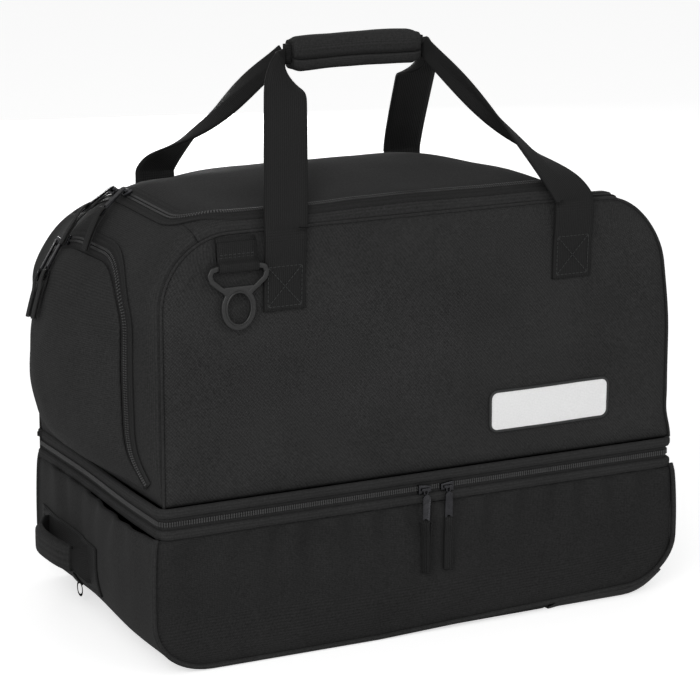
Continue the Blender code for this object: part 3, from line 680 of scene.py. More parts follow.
def seamAt(side):
    def at(u, across, out):
        spot = seamRoute.at(u)
        heading = seamRoute.heading(u)
        normal = Vector((-heading.y, 0, heading.x))
        centre = Vector((spot.x, side * (gussetEdge + seamRoll["out"]), spot.y))
        return settle(centre + normal * (across + seamRoll["over"]) + acrossY * side * out)
    return at


for side, face in faces:
    section = ringSection(seamRoll["radius"], seamRoll["sides"])
    shape = sweptBar(seamRoll["steps"], section, seamAt(side), seamRoute.length)
    makePiece("upper_%s_seam" % face, shape, "oxford", "upper_compartment")

# Gusset of the upper compartment: two ends and the border in front of the lid
gussetCloth = {"endSteps": 64, "acrossSteps": 70, "gap": 0.0003}


def endPlace(side):
    def place(u, v):
        along = lidEdge + gussetCloth["gap"] + u * (endFoot - lidEdge)
        return upperSkin(side * along, gussetEdge * (2 * v - 1))
    return place


for side, hand in hands:
    clothPiece("%s_end_cloth" % hand, gussetCloth["endSteps"], gussetCloth["acrossSteps"], endPlace(side),
               (endFoot - lidEdge, 2 * gussetEdge), "oxford", "upper_compartment", ["%s_end_panel" % hand],
               acrossX * side)
borderDeep = lidFront - gussetCloth["gap"] + gussetEdge


def borderPlace(u, v):
    return upperSkin(lidEdge * (2 * u - 1), -gussetEdge + v * borderDeep)


clothPiece("top_border_cloth", 110, 8, borderPlace, (2 * lidEdge, bagForm["lidBorder"]), "oxford",
           "upper_compartment", ["top_border_front"], upward)

# Lid and the top behind it are one cloth across the top; its front corners are round
topForm = {"foldReach": 0.014, "cornerSink": 0.0003, "cornerFlat": (0.03, 0.01)}
lidRadius = bagForm["lidCorner"]


def topPlace(u, v):
    spot = Vector((lidEdge * abs(2 * u - 1), lidFront + v * (gussetEdge - lidFront)))
    corner = Vector((lidEdge - lidRadius, lidFront + lidRadius))
    if spot.x > corner.x and spot.y < corner.y:
        offset = spot - corner
        spot = corner + offset.normalized() * max(abs(offset.x), abs(offset.y))
    return upperSkin(math.copysign(spot.x, u - 0.5), spot.y)


topCloth = clothPiece("top_cloth", 110, 90, topPlace, (2 * lidEdge, gussetEdge - lidFront), "oxford",
                      "upper_compartment", ["top_lid", "top_back_panel"], upward, rides=False)
foldHeight = upperSkin(0, bagForm["lidFold"]).z
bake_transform(topCloth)


# What the round corner leaves of the square one
def cornerPlace(side):
    def place(u, v):
        angle = -math.pi / 2 * u
        offset = Vector((math.cos(angle), math.sin(angle)))
        offset *= lidRadius * (1 + v * (1 / max(abs(offset.x), abs(offset.y)) - 1))
        along = side * (lidEdge - lidRadius + offset.x)
        return upperSkin(along, lidFront + lidRadius + offset.y, -topForm["cornerSink"])
    return place


for side, hand in hands:
    clothPiece("lid_corner_%s" % hand, 16, 4, cornerPlace(side), topForm["cornerFlat"], "oxford",
               "upper_compartment", [], upward)
print("upper compartment done")

# Coil zips: each half is a woven tape with a coil of teeth along its inner edge
coilZip = {"tape": 0.0009, "coilHigh": 0.0017, "coilWide": 0.0019, "pitch": 0.0021,
           "tooth": (0.0011, 0.0020, 0.0008), "step": 0.005, "shoulder": 0.7, "crown": 0.3,
           "toothAcross": 0.45, "toothHigh": 0.95, "aheadShare": 0.002, "probe": 0.004}


def zipHalf(name, route, at, outerEdge, coilEdge, body):
    high = coilZip["coilHigh"]
    wide = math.copysign(coilZip["coilWide"], outerEdge - coilEdge)
    crown = wide * coilZip["crown"]
    section = [(coilEdge, 0.0), (coilEdge, high * coilZip["shoulder"]), (coilEdge + crown, high),
               (coilEdge + wide - crown, high), (coilEdge + wide, coilZip["tape"]),
               (outerEdge, coilZip["tape"]), (outerEdge, 0.0)]
    shape = sweptBar(int(route.length / coilZip["step"]), section, at, route.length)
    makePiece(name + "_tape", shape, "tape", body, [name], smooth=False)
    teeth = bmesh.new()
    middle = coilEdge + wide * coilZip["toothAcross"]
    step = coilZip["aheadShare"]
    count = int(route.length / coilZip["pitch"])
    for index in range(1, count):
        u = index / count
        ahead = (at(min(1, u + step), middle, high) - at(max(0, u - step), middle, high)).normalized()
        out = (at(u, middle, coilZip["probe"]) - at(u, middle, 0.0)).normalized()
        spot = at(u, middle, high * coilZip["toothHigh"])
        addBlock(teeth, spot, ahead, out.cross(ahead), out, coilZip["tooth"])
    makePiece(name + "_coil", teeth, "coil", body, smooth=False)


def surfaceAt(route, lift):
    def at(u, across, out):
        spot = route.at(u)
        heading = route.heading(u)
        return upperSkin(spot.x + heading.y * across, spot.y - heading.x * across, lift + out)
    return at


lidZip = {"lift": 0.0004, "half": 0.0080, "clear": 0.0003}
lidHalf = [(lidEdge, q, 0) for q in spread(bagForm["lidFold"], lidFront + lidRadius, 12)[:-1]]
lidHalf += [(lidEdge - lidRadius + lidRadius * math.cos(a), lidFront + lidRadius - lidRadius * math.sin(a), 0)
            for a in spread(0, math.pi / 2, 10)]
lidRoute = Route(lidHalf + [(-along, q, 0) for along, q, _ in reversed(lidHalf)])
for hand, name, body in ((1, "lid_zip_inner", "top_lid"), (-1, "lid_zip_outer", "upper_compartment")):
    zipHalf(name, lidRoute, surfaceAt(lidRoute, lidZip["lift"]), hand * lidZip["half"],
            hand * lidZip["clear"], body)

# Boot zip band round the left end, the front and the right end, between two folded cloth edges
bootZip = {"corner": 0.010, "stop": 0.0015, "halfBand": 0.0128, "clear": 0.0002, "sink": 0.0016, "flare": 0.5}
zipWelt = {"corner": 0.008, "middle": 0.0094, "wide": 0.0084, "thick": 0.0052, "power": 0.6, "sink": 0.0004,
           "steps": 240}


def roundBag(corner):
    reach = halfWidth - corner
    front = -halfDepth + corner
    left = [(-halfWidth, y, 0) for y in spread(halfDepth - bootZip["stop"], front, 8)]
    left += [(-reach - corner * math.cos(a), front - corner * math.sin(a), 0)
             for a in spread(0, math.pi / 2, 8)[1:]]
    return Route(left + [(-x, y, 0) for x, y, _ in reversed(left)])


def zipBandAt(route, sink):
    def at(u, across, out):
        spot = route.at(u)
        heading = route.heading(u)
        normal = Vector((heading.y, -heading.x, 0))
        place = Vector((spot.x, spot.y, zipMiddle + across)) + normal * (out - sink)
        return cornerFlare(place, bootZip["flare"])
    return at


zipPath = roundBag(bootZip["corner"])
weltPath = roundBag(zipWelt["corner"])
bootZipEdges = ((-1, "boot_compartment", "lower"), (1, "upper_compartment", "upper"))
for side, body, name in bootZipEdges:
    zipHalf("boot_zip_%s" % name, zipPath, zipBandAt(zipPath, bootZip["sink"]), side * bootZip["halfBand"],
            side * bootZip["clear"], body)
rolled = flatSection(zipWelt["wide"], zipWelt["thick"], zipWelt["power"], 1, 16)
for side, body, name in bootZipEdges:
    edge = [(side * zipWelt["middle"] + across, out) for across, out in rolled]
    shape = sweptBar(zipWelt["steps"], edge, zipBandAt(weltPath, zipWelt["sink"]), weltPath.length)
    makePiece("boot_zip_welt_%s" % name, shape, "oxford", body)
print("zips done")

# Fabric hinge along the back, one cloth between the two compartments
backHinge = {"under": 0.003, "over": 0.012, "wall": 0.0015, "past": 0.0005, "inset": 0.0010, "bend": 0.008}
hingeHigh = upperBase - bootTop + backHinge["under"] + backHinge["over"]


def hingePlace(u, v):
    x = (2 * u - 1) * (halfWidth + backHinge["past"])
    z = bootTop - backHinge["under"] + v * hingeHigh
    out = halfDepth - backHinge["inset"]
    if z > upperBase:
        out = min(out, panelOut(1, x, z) + backHinge["wall"])
    return settle(Vector((x, out, z)))


hingeCloth = clothPiece("back_hinge_cloth", 60, 16, hingePlace, (2 * halfWidth, hingeHigh), "oxford",
                        "upper_compartment", ["back_hinge_lower", "back_hinge_upper"], acrossY,
                        backHinge["wall"], rides=False)
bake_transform(hingeCloth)

# Floor between the compartments, a little uneven
floorForm = {"wall": 0.0025, "lift": 0.0004, "uneven": 0.0012, "lumps": (7, 5)}
floorLow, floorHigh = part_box("divider_floor")
floorSize = floorHigh - floorLow


def floorPlace(u, v):
    lump = noise.noise(Vector((u * floorForm["lumps"][0], v * floorForm["lumps"][1], 0.5)))
    height = floorForm["lift"] + floorForm["uneven"] * (0.5 + 0.5 * lump)
    return floorLow + Vector((u * floorSize.x, v * floorSize.y, height))


clothPiece("divider_cloth", 60, 36, floorPlace, (floorSize.x, floorSize.y), "oxford", "upper_compartment",
           ["divider_floor"], -upward, floorForm["wall"])

# End pocket: a swollen flap on the left end, zipped round three sides
endPocket = {"front": -0.097, "back": 0.098, "flare": 0.018, "flareHeight": 0.050, "corner": 0.045,
             "rise": 0.011, "topAngle": math.radians(69), "belly": 0.024, "fullness": 0.75, "low": 0.72,
             "lift": 0.0034, "wall": 0.003, "sideShare": 0.7, "flatWide": 0.180,
             "creases": ((0.0022, 0.050, 5.2), (0.0009, 0.022, 8.3))}
pocketZip = {"seam": 0.0002, "teeth": 0.0065, "clear": 0.0002, "outer": 0.0150, "innerLift": 0.0010,
             "outerLift": 0.0006}
pocketFoot = endFoot - endPocket["rise"]
pocketTop = straight + shoulderRadius * endPocket["topAngle"]
pocketLength = pocketFoot - pocketTop
cornerShare = 1 - endPocket["corner"] / pocketLength


def pocketEdges(share):
    radius = endPocket["corner"]
    fromTop = (1 - share) * pocketLength
    inset = 0.0
    if fromTop < radius:
        inset = radius - math.sqrt(radius ** 2 - (radius - fromTop) ** 2)
    widen = endPocket["flare"] * max(0.0, 1 - share * pocketLength / endPocket["flareHeight"]) ** 2
    return endPocket["front"] + inset - widen, endPocket["back"] - inset


def pocketShare(v):
    side = endPocket["sideShare"]
    if v < side:
        return cornerShare * v / side
    return cornerShare + (1 - cornerShare) * math.sin((v - side) / (1 - side) * math.pi / 2)


def pocketAlong(share):
    return -(pocketFoot - share * pocketLength)


def pocketSwell(share):
    return max(0.0, math.sin(math.pi * share ** endPocket["low"])) ** endPocket["fullness"]


def pocketPlace(u, v):
    share = pocketShare(v)
    frontQ, backQ = pocketEdges(share)
    swell = pocketSwell(share) * (1 - (2 * u - 1) ** 2)
    q = frontQ + (backQ - frontQ) * u
    crease = ripple(Vector((-halfWidth, q, share * pocketLength)), endPocket["creases"])
    return upperSkin(pocketAlong(share), q, endPocket["lift"] + (endPocket["belly"] + crease) * swell)


clothPiece("end_pocket_cloth", 54, 60, pocketPlace, (endPocket["flatWide"], pocketLength), "oxford",
           "end_pocket_flap", ["end_pocket_flap"], -acrossX, endPocket["wall"])
risingShares = [pocketShare(v) for v in spread(0.0, 1.0, 30)]
pocketLine = [(pocketAlong(share), pocketEdges(share)[0], 0) for share in risingShares]
pocketLine += [(pocketAlong(1), q, 0) for q in spread(*pocketEdges(1), 10)[1:-1]]
pocketLine += [(pocketAlong(share), pocketEdges(share)[1], 0) for share in reversed(risingShares)]
pocketRoute = Route(pocketLine)
zipHalf("pocket_zip_inner", pocketRoute, surfaceAt(pocketRoute, pocketZip["innerLift"]), pocketZip["seam"],
        pocketZip["teeth"] - pocketZip["clear"], "end_pocket_flap")
zipHalf("pocket_zip_outer", pocketRoute, surfaceAt(pocketRoute, pocketZip["outerLift"]), pocketZip["outer"],
        pocketZip["teeth"] + pocketZip["clear"], "upper_compartment")

# Folded covers over the two ends of the lid zip
zipCover = {"from": 0.036, "to": 0.060, "wide": 0.022, "high": 0.0036, "lift": 0.0008, "wall": 0.0012,
            "acrossPower": 0.6, "alongPower": 0.4, "openEnd": 0.08}
coverSize = (zipCover["wide"], zipCover["to"] - zipCover["from"])


def coverPlace(side):
    def place(u, v):
        length = zipCover["openEnd"] + (1 - zipCover["openEnd"]) * v
        high = zipCover["high"] * math.sin(math.pi * u) ** zipCover["acrossPower"]
        high *= math.sin(math.pi * length) ** zipCover["alongPower"]
        q = zipCover["from"] + v * coverSize[1]
        return upperSkin(side * (lidEdge + zipCover["wide"] * (u - 0.5)), q, zipCover["lift"] + high)
    return place


for side, hand in hands:
    clothPiece("zip_cover_%s" % hand, 14, 12, coverPlace(side), coverSize, "tape", "upper_compartment",
               ["zip_garage_%s" % hand], upward, zipCover["wall"])
print("end pocket done")

# Sliders: a bevelled body with a narrower nose and a bridge that holds the pull
sliderForm = {"size": (0.0125, 0.0086, 0.0030), "nose": 0.62, "bevel": 0.0006,
              "bridge": (0.0085, 0.0026, 0.0011), "bridgeLift": 0.0030, "leg": (0.0014, 0.0026, 0.0022),
              "legLift": 0.0018}


def slider(name, centre, forward, out):
    shape = bmesh.new()
    local = (acrossX, acrossY, upward)
    addBlock(shape, Vector((0, 0, 0)), *local, sliderForm["size"])
    for vert in shape.verts:
        if vert.co.x > 0:
            vert.co.y *= sliderForm["nose"]
    addBlock(shape, upward * sliderForm["bridgeLift"], *local, sliderForm["bridge"])
    for end in (-1, 1):
        reach = (sliderForm["bridge"][0] - sliderForm["leg"][0]) / 2
        addBlock(shape, Vector((end * reach, 0, sliderForm["legLift"])), *local, sliderForm["leg"])
    bmesh.ops.bevel(shape, geom=shape.edges[:], offset=sliderForm["bevel"], segments=2, profile=0.5,
                    affect="EDGES", material=-1, clamp_overlap=True)
    turn = Matrix((forward, out.cross(forward), out)).transposed().to_4x4()
    shape.transform(Matrix.Translation(centre) @ turn)
    makePiece(name + "_body", shape, "gunmetal", name, [name], sharp=40)


# Pulls: a slotted metal tab, and a tape folded through its slot; place(t, w, n) sets them down
pullForm = {"tabStart": -0.0014, "tabEnd": 0.0285, "tabWide": 0.0072, "slotStart": 0.0195, "slotEnd": 0.0262,
            "slotWide": 0.0040, "tabThick": 0.0013, "tapeWide": 0.0084, "tapeThick": 0.0008, "ringSides": 22,
            "eyeWide": 0.0046, "eyeWire": 0.0011, "eyeOver": 0.0009, "foldEnd": 0.0006,
            "fold": ((0.009, 0.0008), (0.002, 0.0019), (-0.0035, 0.0014)), "foldTop": -0.0045}


def stadium(shape, start, end, wide):
    ring = bmesh.ops.create_circle(shape, segments=pullForm["ringSides"], radius=wide / 2)["verts"]
    for vert in ring:
        vert.co.x += (start + end) / 2 + math.copysign((end - start - wide) / 2, vert.co.x)
    return ring


def slottedPlate(name, outer, inner, place, body, nodes):
    shape = bmesh.new()
    rim = stadium(shape, *outer)
    slot = stadium(shape, *inner)
    for index in range(len(rim)):
        shape.faces.new((rim[index], rim[index - 1], slot[index - 1], slot[index]))
    shape.normal_update()
    bmesh.ops.solidify(shape, geom=shape.faces[:], thickness=pullForm["tabThick"])
    for vert in shape.verts:
        vert.co = place(*vert.co)
    makePiece(name, shape, "gunmetal", body, nodes, sharp=35)


# With an axis below the slider, the slider keeps a wire eye and the tab starts at that axis
def pull(name, length, place, axisDrop=0.0):
    start = pullForm["tabStart"]
    lower = 0.0
    if axisDrop:
        wire = pullForm["eyeWire"]
        wide = pullForm["eyeWide"]
        eyeEnd = axisDrop + pullForm["eyeOver"]
        slottedPlate(name + "_eye", (start, eyeEnd, wide), (start + wire, eyeEnd - wire, wide - 2 * wire),
                     lambda t, w, n: place(t, w, n - pullForm["tabThick"]), name.replace("pull", "slider"),
                     [])
        lower = axisDrop - start
        start = axisDrop
    slotLow = pullForm["slotEnd"] + lower
    slottedPlate(name + "_tab", (start, pullForm["tabEnd"] + lower, pullForm["tabWide"]),
                 (pullForm["slotStart"] + lower, slotLow, pullForm["slotWide"]), place, name, [name])
    half = [(length, pullForm["foldEnd"], 0)] + [(slotLow + t, n, 0) for t, n in pullForm["fold"]]
    back = [(t, -n, 0) for t, n, _ in reversed(half)]
    fold = Route(half + [(slotLow + pullForm["foldTop"], 0.0, 0)] + back)

    def tapePlace(u, v):
        spot = fold.at(u)
        return place(spot.x, (v - 0.5) * pullForm["tapeWide"], spot.y + pullForm["tabThick"] / 2)

    tape = clothGrid(70, 4, tapePlace, (fold.length, pullForm["tapeWide"]))
    tape.normal_update()
    makePiece(name + "_tape", tape, "webbing", name, [], pullForm["tapeThick"], lining="webbing")


def sliderMiddle(name):
    low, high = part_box(name)
    return (low + high) / 2


# The boot pulls hang straight down, the left one turned on edge
bootPulls = {"length": 0.0745, "coilHeight": zipMiddle - 0.0008, "out": halfDepth + 0.0012,
             "overAxis": 0.0014, "twist": {"left": math.radians(62), "right": 0.12}, "twistFrom": 0.004,
             "twistRun": 0.014, "stand": 0.0036, "edgeStand": 0.0026, "fallIn": 0.0012, "fallRun": 0.06}


def bootPullPlace(spot, fullTwist):
    def place(t, w, n):
        turn = fullTwist * rampUp(t, bootPulls["twistFrom"], bootPulls["twistRun"])
        wide = acrossX * math.cos(turn) - acrossY * math.sin(turn)
        out = -acrossY * math.cos(turn) - acrossX * math.sin(turn)
        stand = bootPulls["stand"] + bootPulls["edgeStand"] * abs(math.sin(turn))
        stand -= bootPulls["fallIn"] * ease(t / bootPulls["fallRun"])
        return spot - upward * t + wide * w + out * n - acrossY * stand
    return place


for side, hand in hands:
    spot = Vector((sliderMiddle("boot_slider_%s" % hand).x, -bootPulls["out"], bootPulls["coilHeight"]))
    slider("boot_slider_%s" % hand, spot, -acrossX * side, -acrossY)
    axisDrop = bootPulls["coilHeight"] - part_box("boot_pull_%s" % hand)[1].z - bootPulls["overAxis"]
    pull("boot_pull_%s" % hand, bootPulls["length"], bootPullPlace(spot, bootPulls["twist"][hand]), axisDrop)

# The lid pulls lie down over the left shoulder, the front one slanting forwards
lidPulls = {"length": 0.056, "lift": 0.0044, "clear": 0.0075, "reach": 0.80, "past": 0.0002,
            "lean": {"front": -0.34, "back": 0.06}}
lidRun = -(lidEdge + lidPulls["past"])


def lidPullPlace(q, lean):
    def place(t, w, n):
        return upperSkin(lidRun - t * lidPulls["reach"], q - w + t * lean, lidPulls["clear"] + n)
    return place


for side, face in faces:
    q = sliderMiddle("lid_slider_%s" % face).y
    slider("lid_slider_%s" % face, upperSkin(lidRun, q, lidPulls["lift"]), -acrossY * side,
           outlinePoint(lidRun)[1])
    pull("lid_pull_%s" % face, lidPulls["length"], lidPullPlace(q, lidPulls["lean"][face]))

# The pocket pulls hang over the swell of the end pocket
pocketPulls = {"length": 0.064, "lift": 0.0042, "clear": 0.0070, "reach": 0.93, "over": 0.0035, "belly": 0.8}
crestRun = pocketAlong(1) + pocketZip["teeth"]


def pocketPullPlace(q):
    middle = (endPocket["front"] + endPocket["back"]) / 2
    across = (q - middle) / ((endPocket["back"] - endPocket["front"]) / 2)

    def place(t, w, n):
        down = t * pocketPulls["reach"]
        share = max(0.0, min(1.0, 1 - (down - pocketZip["teeth"]) / pocketLength))
        swell = pocketSwell(share) * (1 - (pocketPulls["belly"] * across) ** 2)
        rest = max(pocketPulls["clear"], endPocket["lift"] + endPocket["belly"] * swell + pocketPulls["over"])
        return upperSkin(crestRun - down, q - w, rest + n)
    return place


for side, face in faces:
    q = sliderMiddle("pocket_slider_%s" % face).y
    slider("pocket_slider_%s" % face, upperSkin(crestRun, q, pocketPulls["lift"]), -acrossY * side,
           outlinePoint(crestRun)[1])
    pull("pocket_pull_%s" % face, pocketPulls["length"], pocketPullPlace(q))
print("sliders and pulls done")


# Ribbons: stations of place, across, outward, width and how far the edges fold back
def ribbonPlace(stations):
    def place(u, v):
        share = u * (len(stations) - 1)
        low = min(int(share), len(stations) - 2)
        part = share - low
        near, far = stations[low], stations[low + 1]
        point = near[0].lerp(far[0], part)
        across = near[1].lerp(far[1], part).normalized()
        out = near[2].lerp(far[2], part).normalized()
        wide = near[3] + (far[3] - near[3]) * part
        back = near[4] + (far[4] - near[4]) * part
        w = 2 * v - 1
        return point + across * (wide / 2 * w) - out * (back * abs(w))
    return place


# Carry webbing: each leg and its sewn tail are one band, turned to stand upright where it enters the grip
carry = {"x": {"front": 0.139, "back": 0.128}, "axisOut": 0.1485, "rise": 0.018,
         "brow": (0.010, 0.022, -0.020), "gripHeight": 0.495, "runEnd": 0.068, "wide": 0.038,
         "runWide": 0.017, "thick": 0.0020, "tailFoot": 0.304, "tailTop": 0.010, "lieGap": 0.0006,
         "axisGap": 0.001, "swingFrom": 0.045, "swingRun": 0.034, "runOut": 0.0024, "fold": 0.0050,
         "flatLength": 0.29, "pinchTo": 0.98, "shortTurn": (0.70, 0.27, 0.86),
         "longTurn": (0.10, 0.74, 0.15), "bendUnder": 0.012, "bendOver": 0.016, "boxHalf": 0.0155,
         "boxFoot": 0.3075, "boxHead": 0.3415, "stitchOut": 0.0001}


# A tail lies on its panel, and leaves it for the strap's own fold line near the top seam
def tailOut(side, x, z):
    out = panelOut(side, x, z) + carry["thick"] + carry["lieGap"]
    swing = rampUp(z, topSeam - carry["swingFrom"], carry["swingRun"])
    return out + (carry["axisOut"] + carry["axisGap"] - out) * swing


def legStations(side, hand, x):
    stations = []
    for z in spread(carry["tailFoot"], topSeam - carry["tailTop"], 12):
        spot = Vector((x, side * tailOut(side, x, z), z))
        stations.append((spot, acrossX, acrossY * side, carry["wide"], 0.0))
    foot = Vector((x, side * (carry["axisOut"] + carry["axisGap"]), topSeam))
    head = Vector((hand * carry["runEnd"], side * carry["runOut"], carry["gripHeight"]))
    knee = foot + upward * carry["rise"]
    brow = head + Vector((hand * carry["brow"][0], side * carry["brow"][1], carry["brow"][2]))
    chord = (head - foot).normalized()
    flat = (acrossX - chord * chord.x).normalized()
    upright = upward - chord * chord.z
    turn = math.atan2(upright.dot(chord.cross(flat)), upright.dot(flat))
    if abs(turn) > math.pi / 2:
        turn -= math.copysign(math.pi, turn)
    turnFrom, turnSpan, pinchFrom = carry["shortTurn"]
    if side * hand < 0:                      # this leg is turned the long way round
        turn -= math.copysign(math.pi, turn)
        turnFrom, turnSpan, pinchFrom = carry["longTurn"]
    for t in spread(0, 1, 40):
        s = 1 - t
        point = foot * s ** 3 + knee * 3 * s * s * t + brow * 3 * s * t * t + head * t ** 3
        heading = ((knee - foot) * s * s + (brow - knee) * 2 * s * t + (head - brow) * t * t).normalized()
        flat = (acrossX - heading * heading.x).normalized()
        twist = turn * rampUp(t, turnFrom, turnSpan)
        across = flat * math.cos(twist) + heading.cross(flat) * math.sin(twist)
        pinch = rampUp(t, pinchFrom, carry["pinchTo"] - pinchFrom)
        wide = carry["wide"] + (carry["runWide"] - carry["wide"]) * pinch
        back = carry["fold"] * pinch * (1 - pinch) * 4
        stations.append((point, across, heading.cross(across) * side, wide, back))
    return stations


def runPlace(side):
    def place(u, v):
        height = carry["gripHeight"] + (v - 0.5) * carry["runWide"]
        return Vector(((2 * u - 1) * carry["runEnd"], side * carry["runOut"], height))
    return place


# A sewn box with a cross, on the tail at this x
def stitchBox(shape, side, x):
    half, foot, head = carry["boxHalf"], carry["boxFoot"], carry["boxHead"]
    corners = []
    for dx, z in ((-half, foot), (half, foot), (half, head), (-half, head)):
        corners.append(Vector((x + dx, side * (tailOut(side, x, z) + carry["stitchOut"]), z)))
    for first, second in ((0, 1), (1, 2), (2, 3), (3, 0), (0, 2), (1, 3)):
        stitchRow(shape, corners[first], corners[second], acrossY * side)


for side, face in faces:
    stitches = bmesh.new()
    strap = "%s_strap" % face
    for hand, handName in hands:
        x = hand * carry["x"][face]
        nodes = ["%s_tail_%s" % (strap, handName)] + ([strap] if hand < 0 else [])
        leg = clothPiece("%s_webbing_%s" % (face, handName), 110, 8, ribbonPlace(legStations(side, hand, x)),
                         (carry["flatLength"], carry["wide"]), "webbing", "upper_compartment", nodes,
                         acrossY * side, carry["thick"], rides=False, lining="webbing")
        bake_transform(leg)
        stitchBox(stitches, side, x)
    clothPiece("%s_webbing_run" % face, 20, 4, runPlace(side), (2 * carry["runEnd"], carry["runWide"]),
               "webbing", strap, [], acrossY * side, carry["thick"], lining="webbing")
    makePiece("%s_strap_stitches" % face, stitches, "thread", "upper_compartment", smooth=False)
print("carry webbing done")

# Padded grip in two leaves round the straps: the wrap behind and below, the flap over the top and front
grip = {"half": 0.0625, "high": 0.0150, "deep": 0.0112, "pad": 0.0052, "square": 3.8, "flapFrom": -4,
        "flapTo": 146, "wrapFrom": 147, "wrapTo": 353, "endSoft": 0.008, "endThin": 0.16, "arch": 0.0006,
        "archRun": 0.02, "puffForm": (0.030, 4.1), "wrapPuff": 0.05, "flapPuff": 0.06, "fill": 0.6}


def gripRim(angle, inset):
    power = 2 / grip["square"]
    deep = -powered(math.cos(angle), power) * (grip["deep"] - inset)
    return deep, powered(math.sin(angle), power) * (grip["high"] - inset)


def gripLeaf(node, body, first, last, puff):
    turns = [math.radians(a) for a in spread(first, last, 22)]
    section = [gripRim(a, 0.0) for a in turns] + [gripRim(a, grip["pad"]) for a in reversed(turns)]

    def at(u, across, out):
        x = grip["half"] * (2 * u - 1)
        size = 1 - grip["endThin"] * (1 - ease((grip["half"] - abs(x)) / grip["endSoft"]))
        size *= 1 + puff * crumple(Vector((x, across, out)), *grip["puffForm"])
        height = carry["gripHeight"] + out * size + grip["arch"] * math.cos(x / grip["archRun"])
        return Vector((x, across * size, height))

    leaf = makePiece(node + "_pad", sweptBar(60, section, at, 2 * grip["half"]), "oxford", body, [node])


gripLeaf("grip_wrap", "back_strap", grip["wrapFrom"], grip["wrapTo"], grip["wrapPuff"])
gripLeaf("grip_flap", "grip_flap", grip["flapFrom"], grip["flapTo"], grip["flapPuff"])

# Haul handle on the left end: backing, webbing and a padded middle
haul = {"centreY": 0.053, "height": 0.056, "span": 0.112, "reach": 0.023, "square": 3, "wide": 0.034,
        "thick": 0.0022, "standOff": 0.0031, "backing": (0.150, 0.044), "backingThick": 0.0016,
        "padWide": 0.024, "padThick": 0.0088, "gathered": 0.018, "gatherFrom": 0.06, "gatherRun": 0.14,
        "rise": 0.006, "padShare": (0.20, 0.80), "padLength": 0.10, "padEnd": 0.72, "padSoft": 0.06,
        "fill": 0.5, "bend": (0.003, 0.022), "seamHeight": 0.0095, "seamOut": 0.0034, "backSeam": 0.005,
        "backSeamOut": 0.0019, "webbingOut": 0.001, "padNarrow": 0.06, "padPowers": (0.35, 0.7),
        "padSides": 28, "seamShare": (0.03, 0.97)}


# A place on the left end of the boot gusset, by its y and height
def leftBand(y, z, lift):
    drop = bootTop - z
    if z < baseRadius:
        drop = bootTop - baseRadius + baseRadius * math.asin(min(1.0, (baseRadius - z) / baseRadius))
    share = drop / bandRoute.length
    across = math.copysign(1 - (1 - abs(y) / bootEdge) ** (1 / bootBand["edgeDense"]), y)
    return bandPoint(share, (across + 1) / 2) + bandNormal(share) * lift


backingLow = Vector((haul["centreY"] - haul["backing"][0] / 2, haul["height"] - haul["backing"][1] / 2))
backingHigh = backingLow + Vector(haul["backing"])


def backingPlace(u, v):
    wide, high = haul["backing"]
    return leftBand(backingLow.x + u * wide, backingLow.y + v * high, haul["backingThick"])


clothPiece("haul_backing_cloth", 30, 10, backingPlace, haul["backing"], "webbing", "boot_compartment",
           ["haul_backing"], -acrossX, haul["backingThick"])


def haulPoint(share):
    bow = 1 - abs(2 * share - 1) ** haul["square"]
    foot = -halfWidth - haul["standOff"] - bootSpread(-halfWidth, haul["height"])
    y = haul["centreY"] + haul["span"] * (share - 0.5)
    return Vector((foot - haul["reach"] * bow, y, haul["height"] + haul["rise"] * bow))


haulRoute = Route([haulPoint(share) for share in spread(0, 1, 60)])
padFrom, padTo = haul["padShare"]


def haulAt(u, across, out):
    heading = haulRoute.heading(u)
    return haulRoute.at(u) + upward * across + Vector((-heading.y, heading.x, 0)) * out


def haulPlace(u, v):
    gather = rampUp(min(u, 1 - u), haul["gatherFrom"], haul["gatherRun"])
    wide = haul["wide"] + (haul["gathered"] - haul["wide"]) * gather
    return haulAt(u, (v - 0.5) * wide, haul["webbingOut"])


def padAt(u, across, out):
    close = haul["padEnd"] + (1 - haul["padEnd"]) * ease(min(u, 1 - u) / haul["padSoft"])
    narrow = 1 - haul["padNarrow"] * (1 - close)
    return haulAt(padFrom + u * (padTo - padFrom), across * narrow, out * close)


haulBand = clothPiece("haul_webbing", 80, 6, haulPlace, (haulRoute.length, haul["wide"]), "webbing",
                      "boot_compartment", ["haul_webbing_front", "haul_webbing_back"], -acrossX,
                      haul["thick"], rides=False, lining="webbing")
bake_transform(haulBand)
padSection = flatSection(haul["padWide"], haul["padThick"], *haul["padPowers"], haul["padSides"])
haulPad = makePiece("haul_padding", sweptBar(60, padSection, padAt, haul["padLength"]), "oxford",
                    "haul_handle", ["haul_pad"])


# Stitches that follow place(share) over a bent face of the left end
def bentSeam(shape, place, shares):
    for first, second in zip(shares, shares[1:]):
        stitchRow(shape, place(first), place(second), -acrossX)


padSeams = bmesh.new()
for height in (haul["seamHeight"], -haul["seamHeight"]):
    bentSeam(padSeams, lambda share: padAt(share, height, haul["seamOut"]), spread(*haul["seamShare"], 30))
makePiece("haul_pad_stitches", padSeams, "thread", "haul_handle", smooth=False)
backSeams = bmesh.new()
backCorners = [(backingLow.x, backingLow.y), (backingHigh.x, backingLow.y), (backingHigh.x, backingHigh.y),
               (backingLow.x, backingHigh.y)]
backMiddle = (backingLow + backingHigh) / 2
backCorners = [Vector(corner) + (backMiddle - Vector(corner)).normalized() * haul["backSeam"]
               for corner in backCorners]
for first, second in zip(backCorners, backCorners[1:] + backCorners[:1]):
    bentSeam(backSeams, lambda share: leftBand(*first.lerp(second, share), haul["backSeamOut"]),
             spread(0, 1, 8))
makePiece("haul_backing_stitches", backSeams, "thread", "boot_compartment", smooth=False)

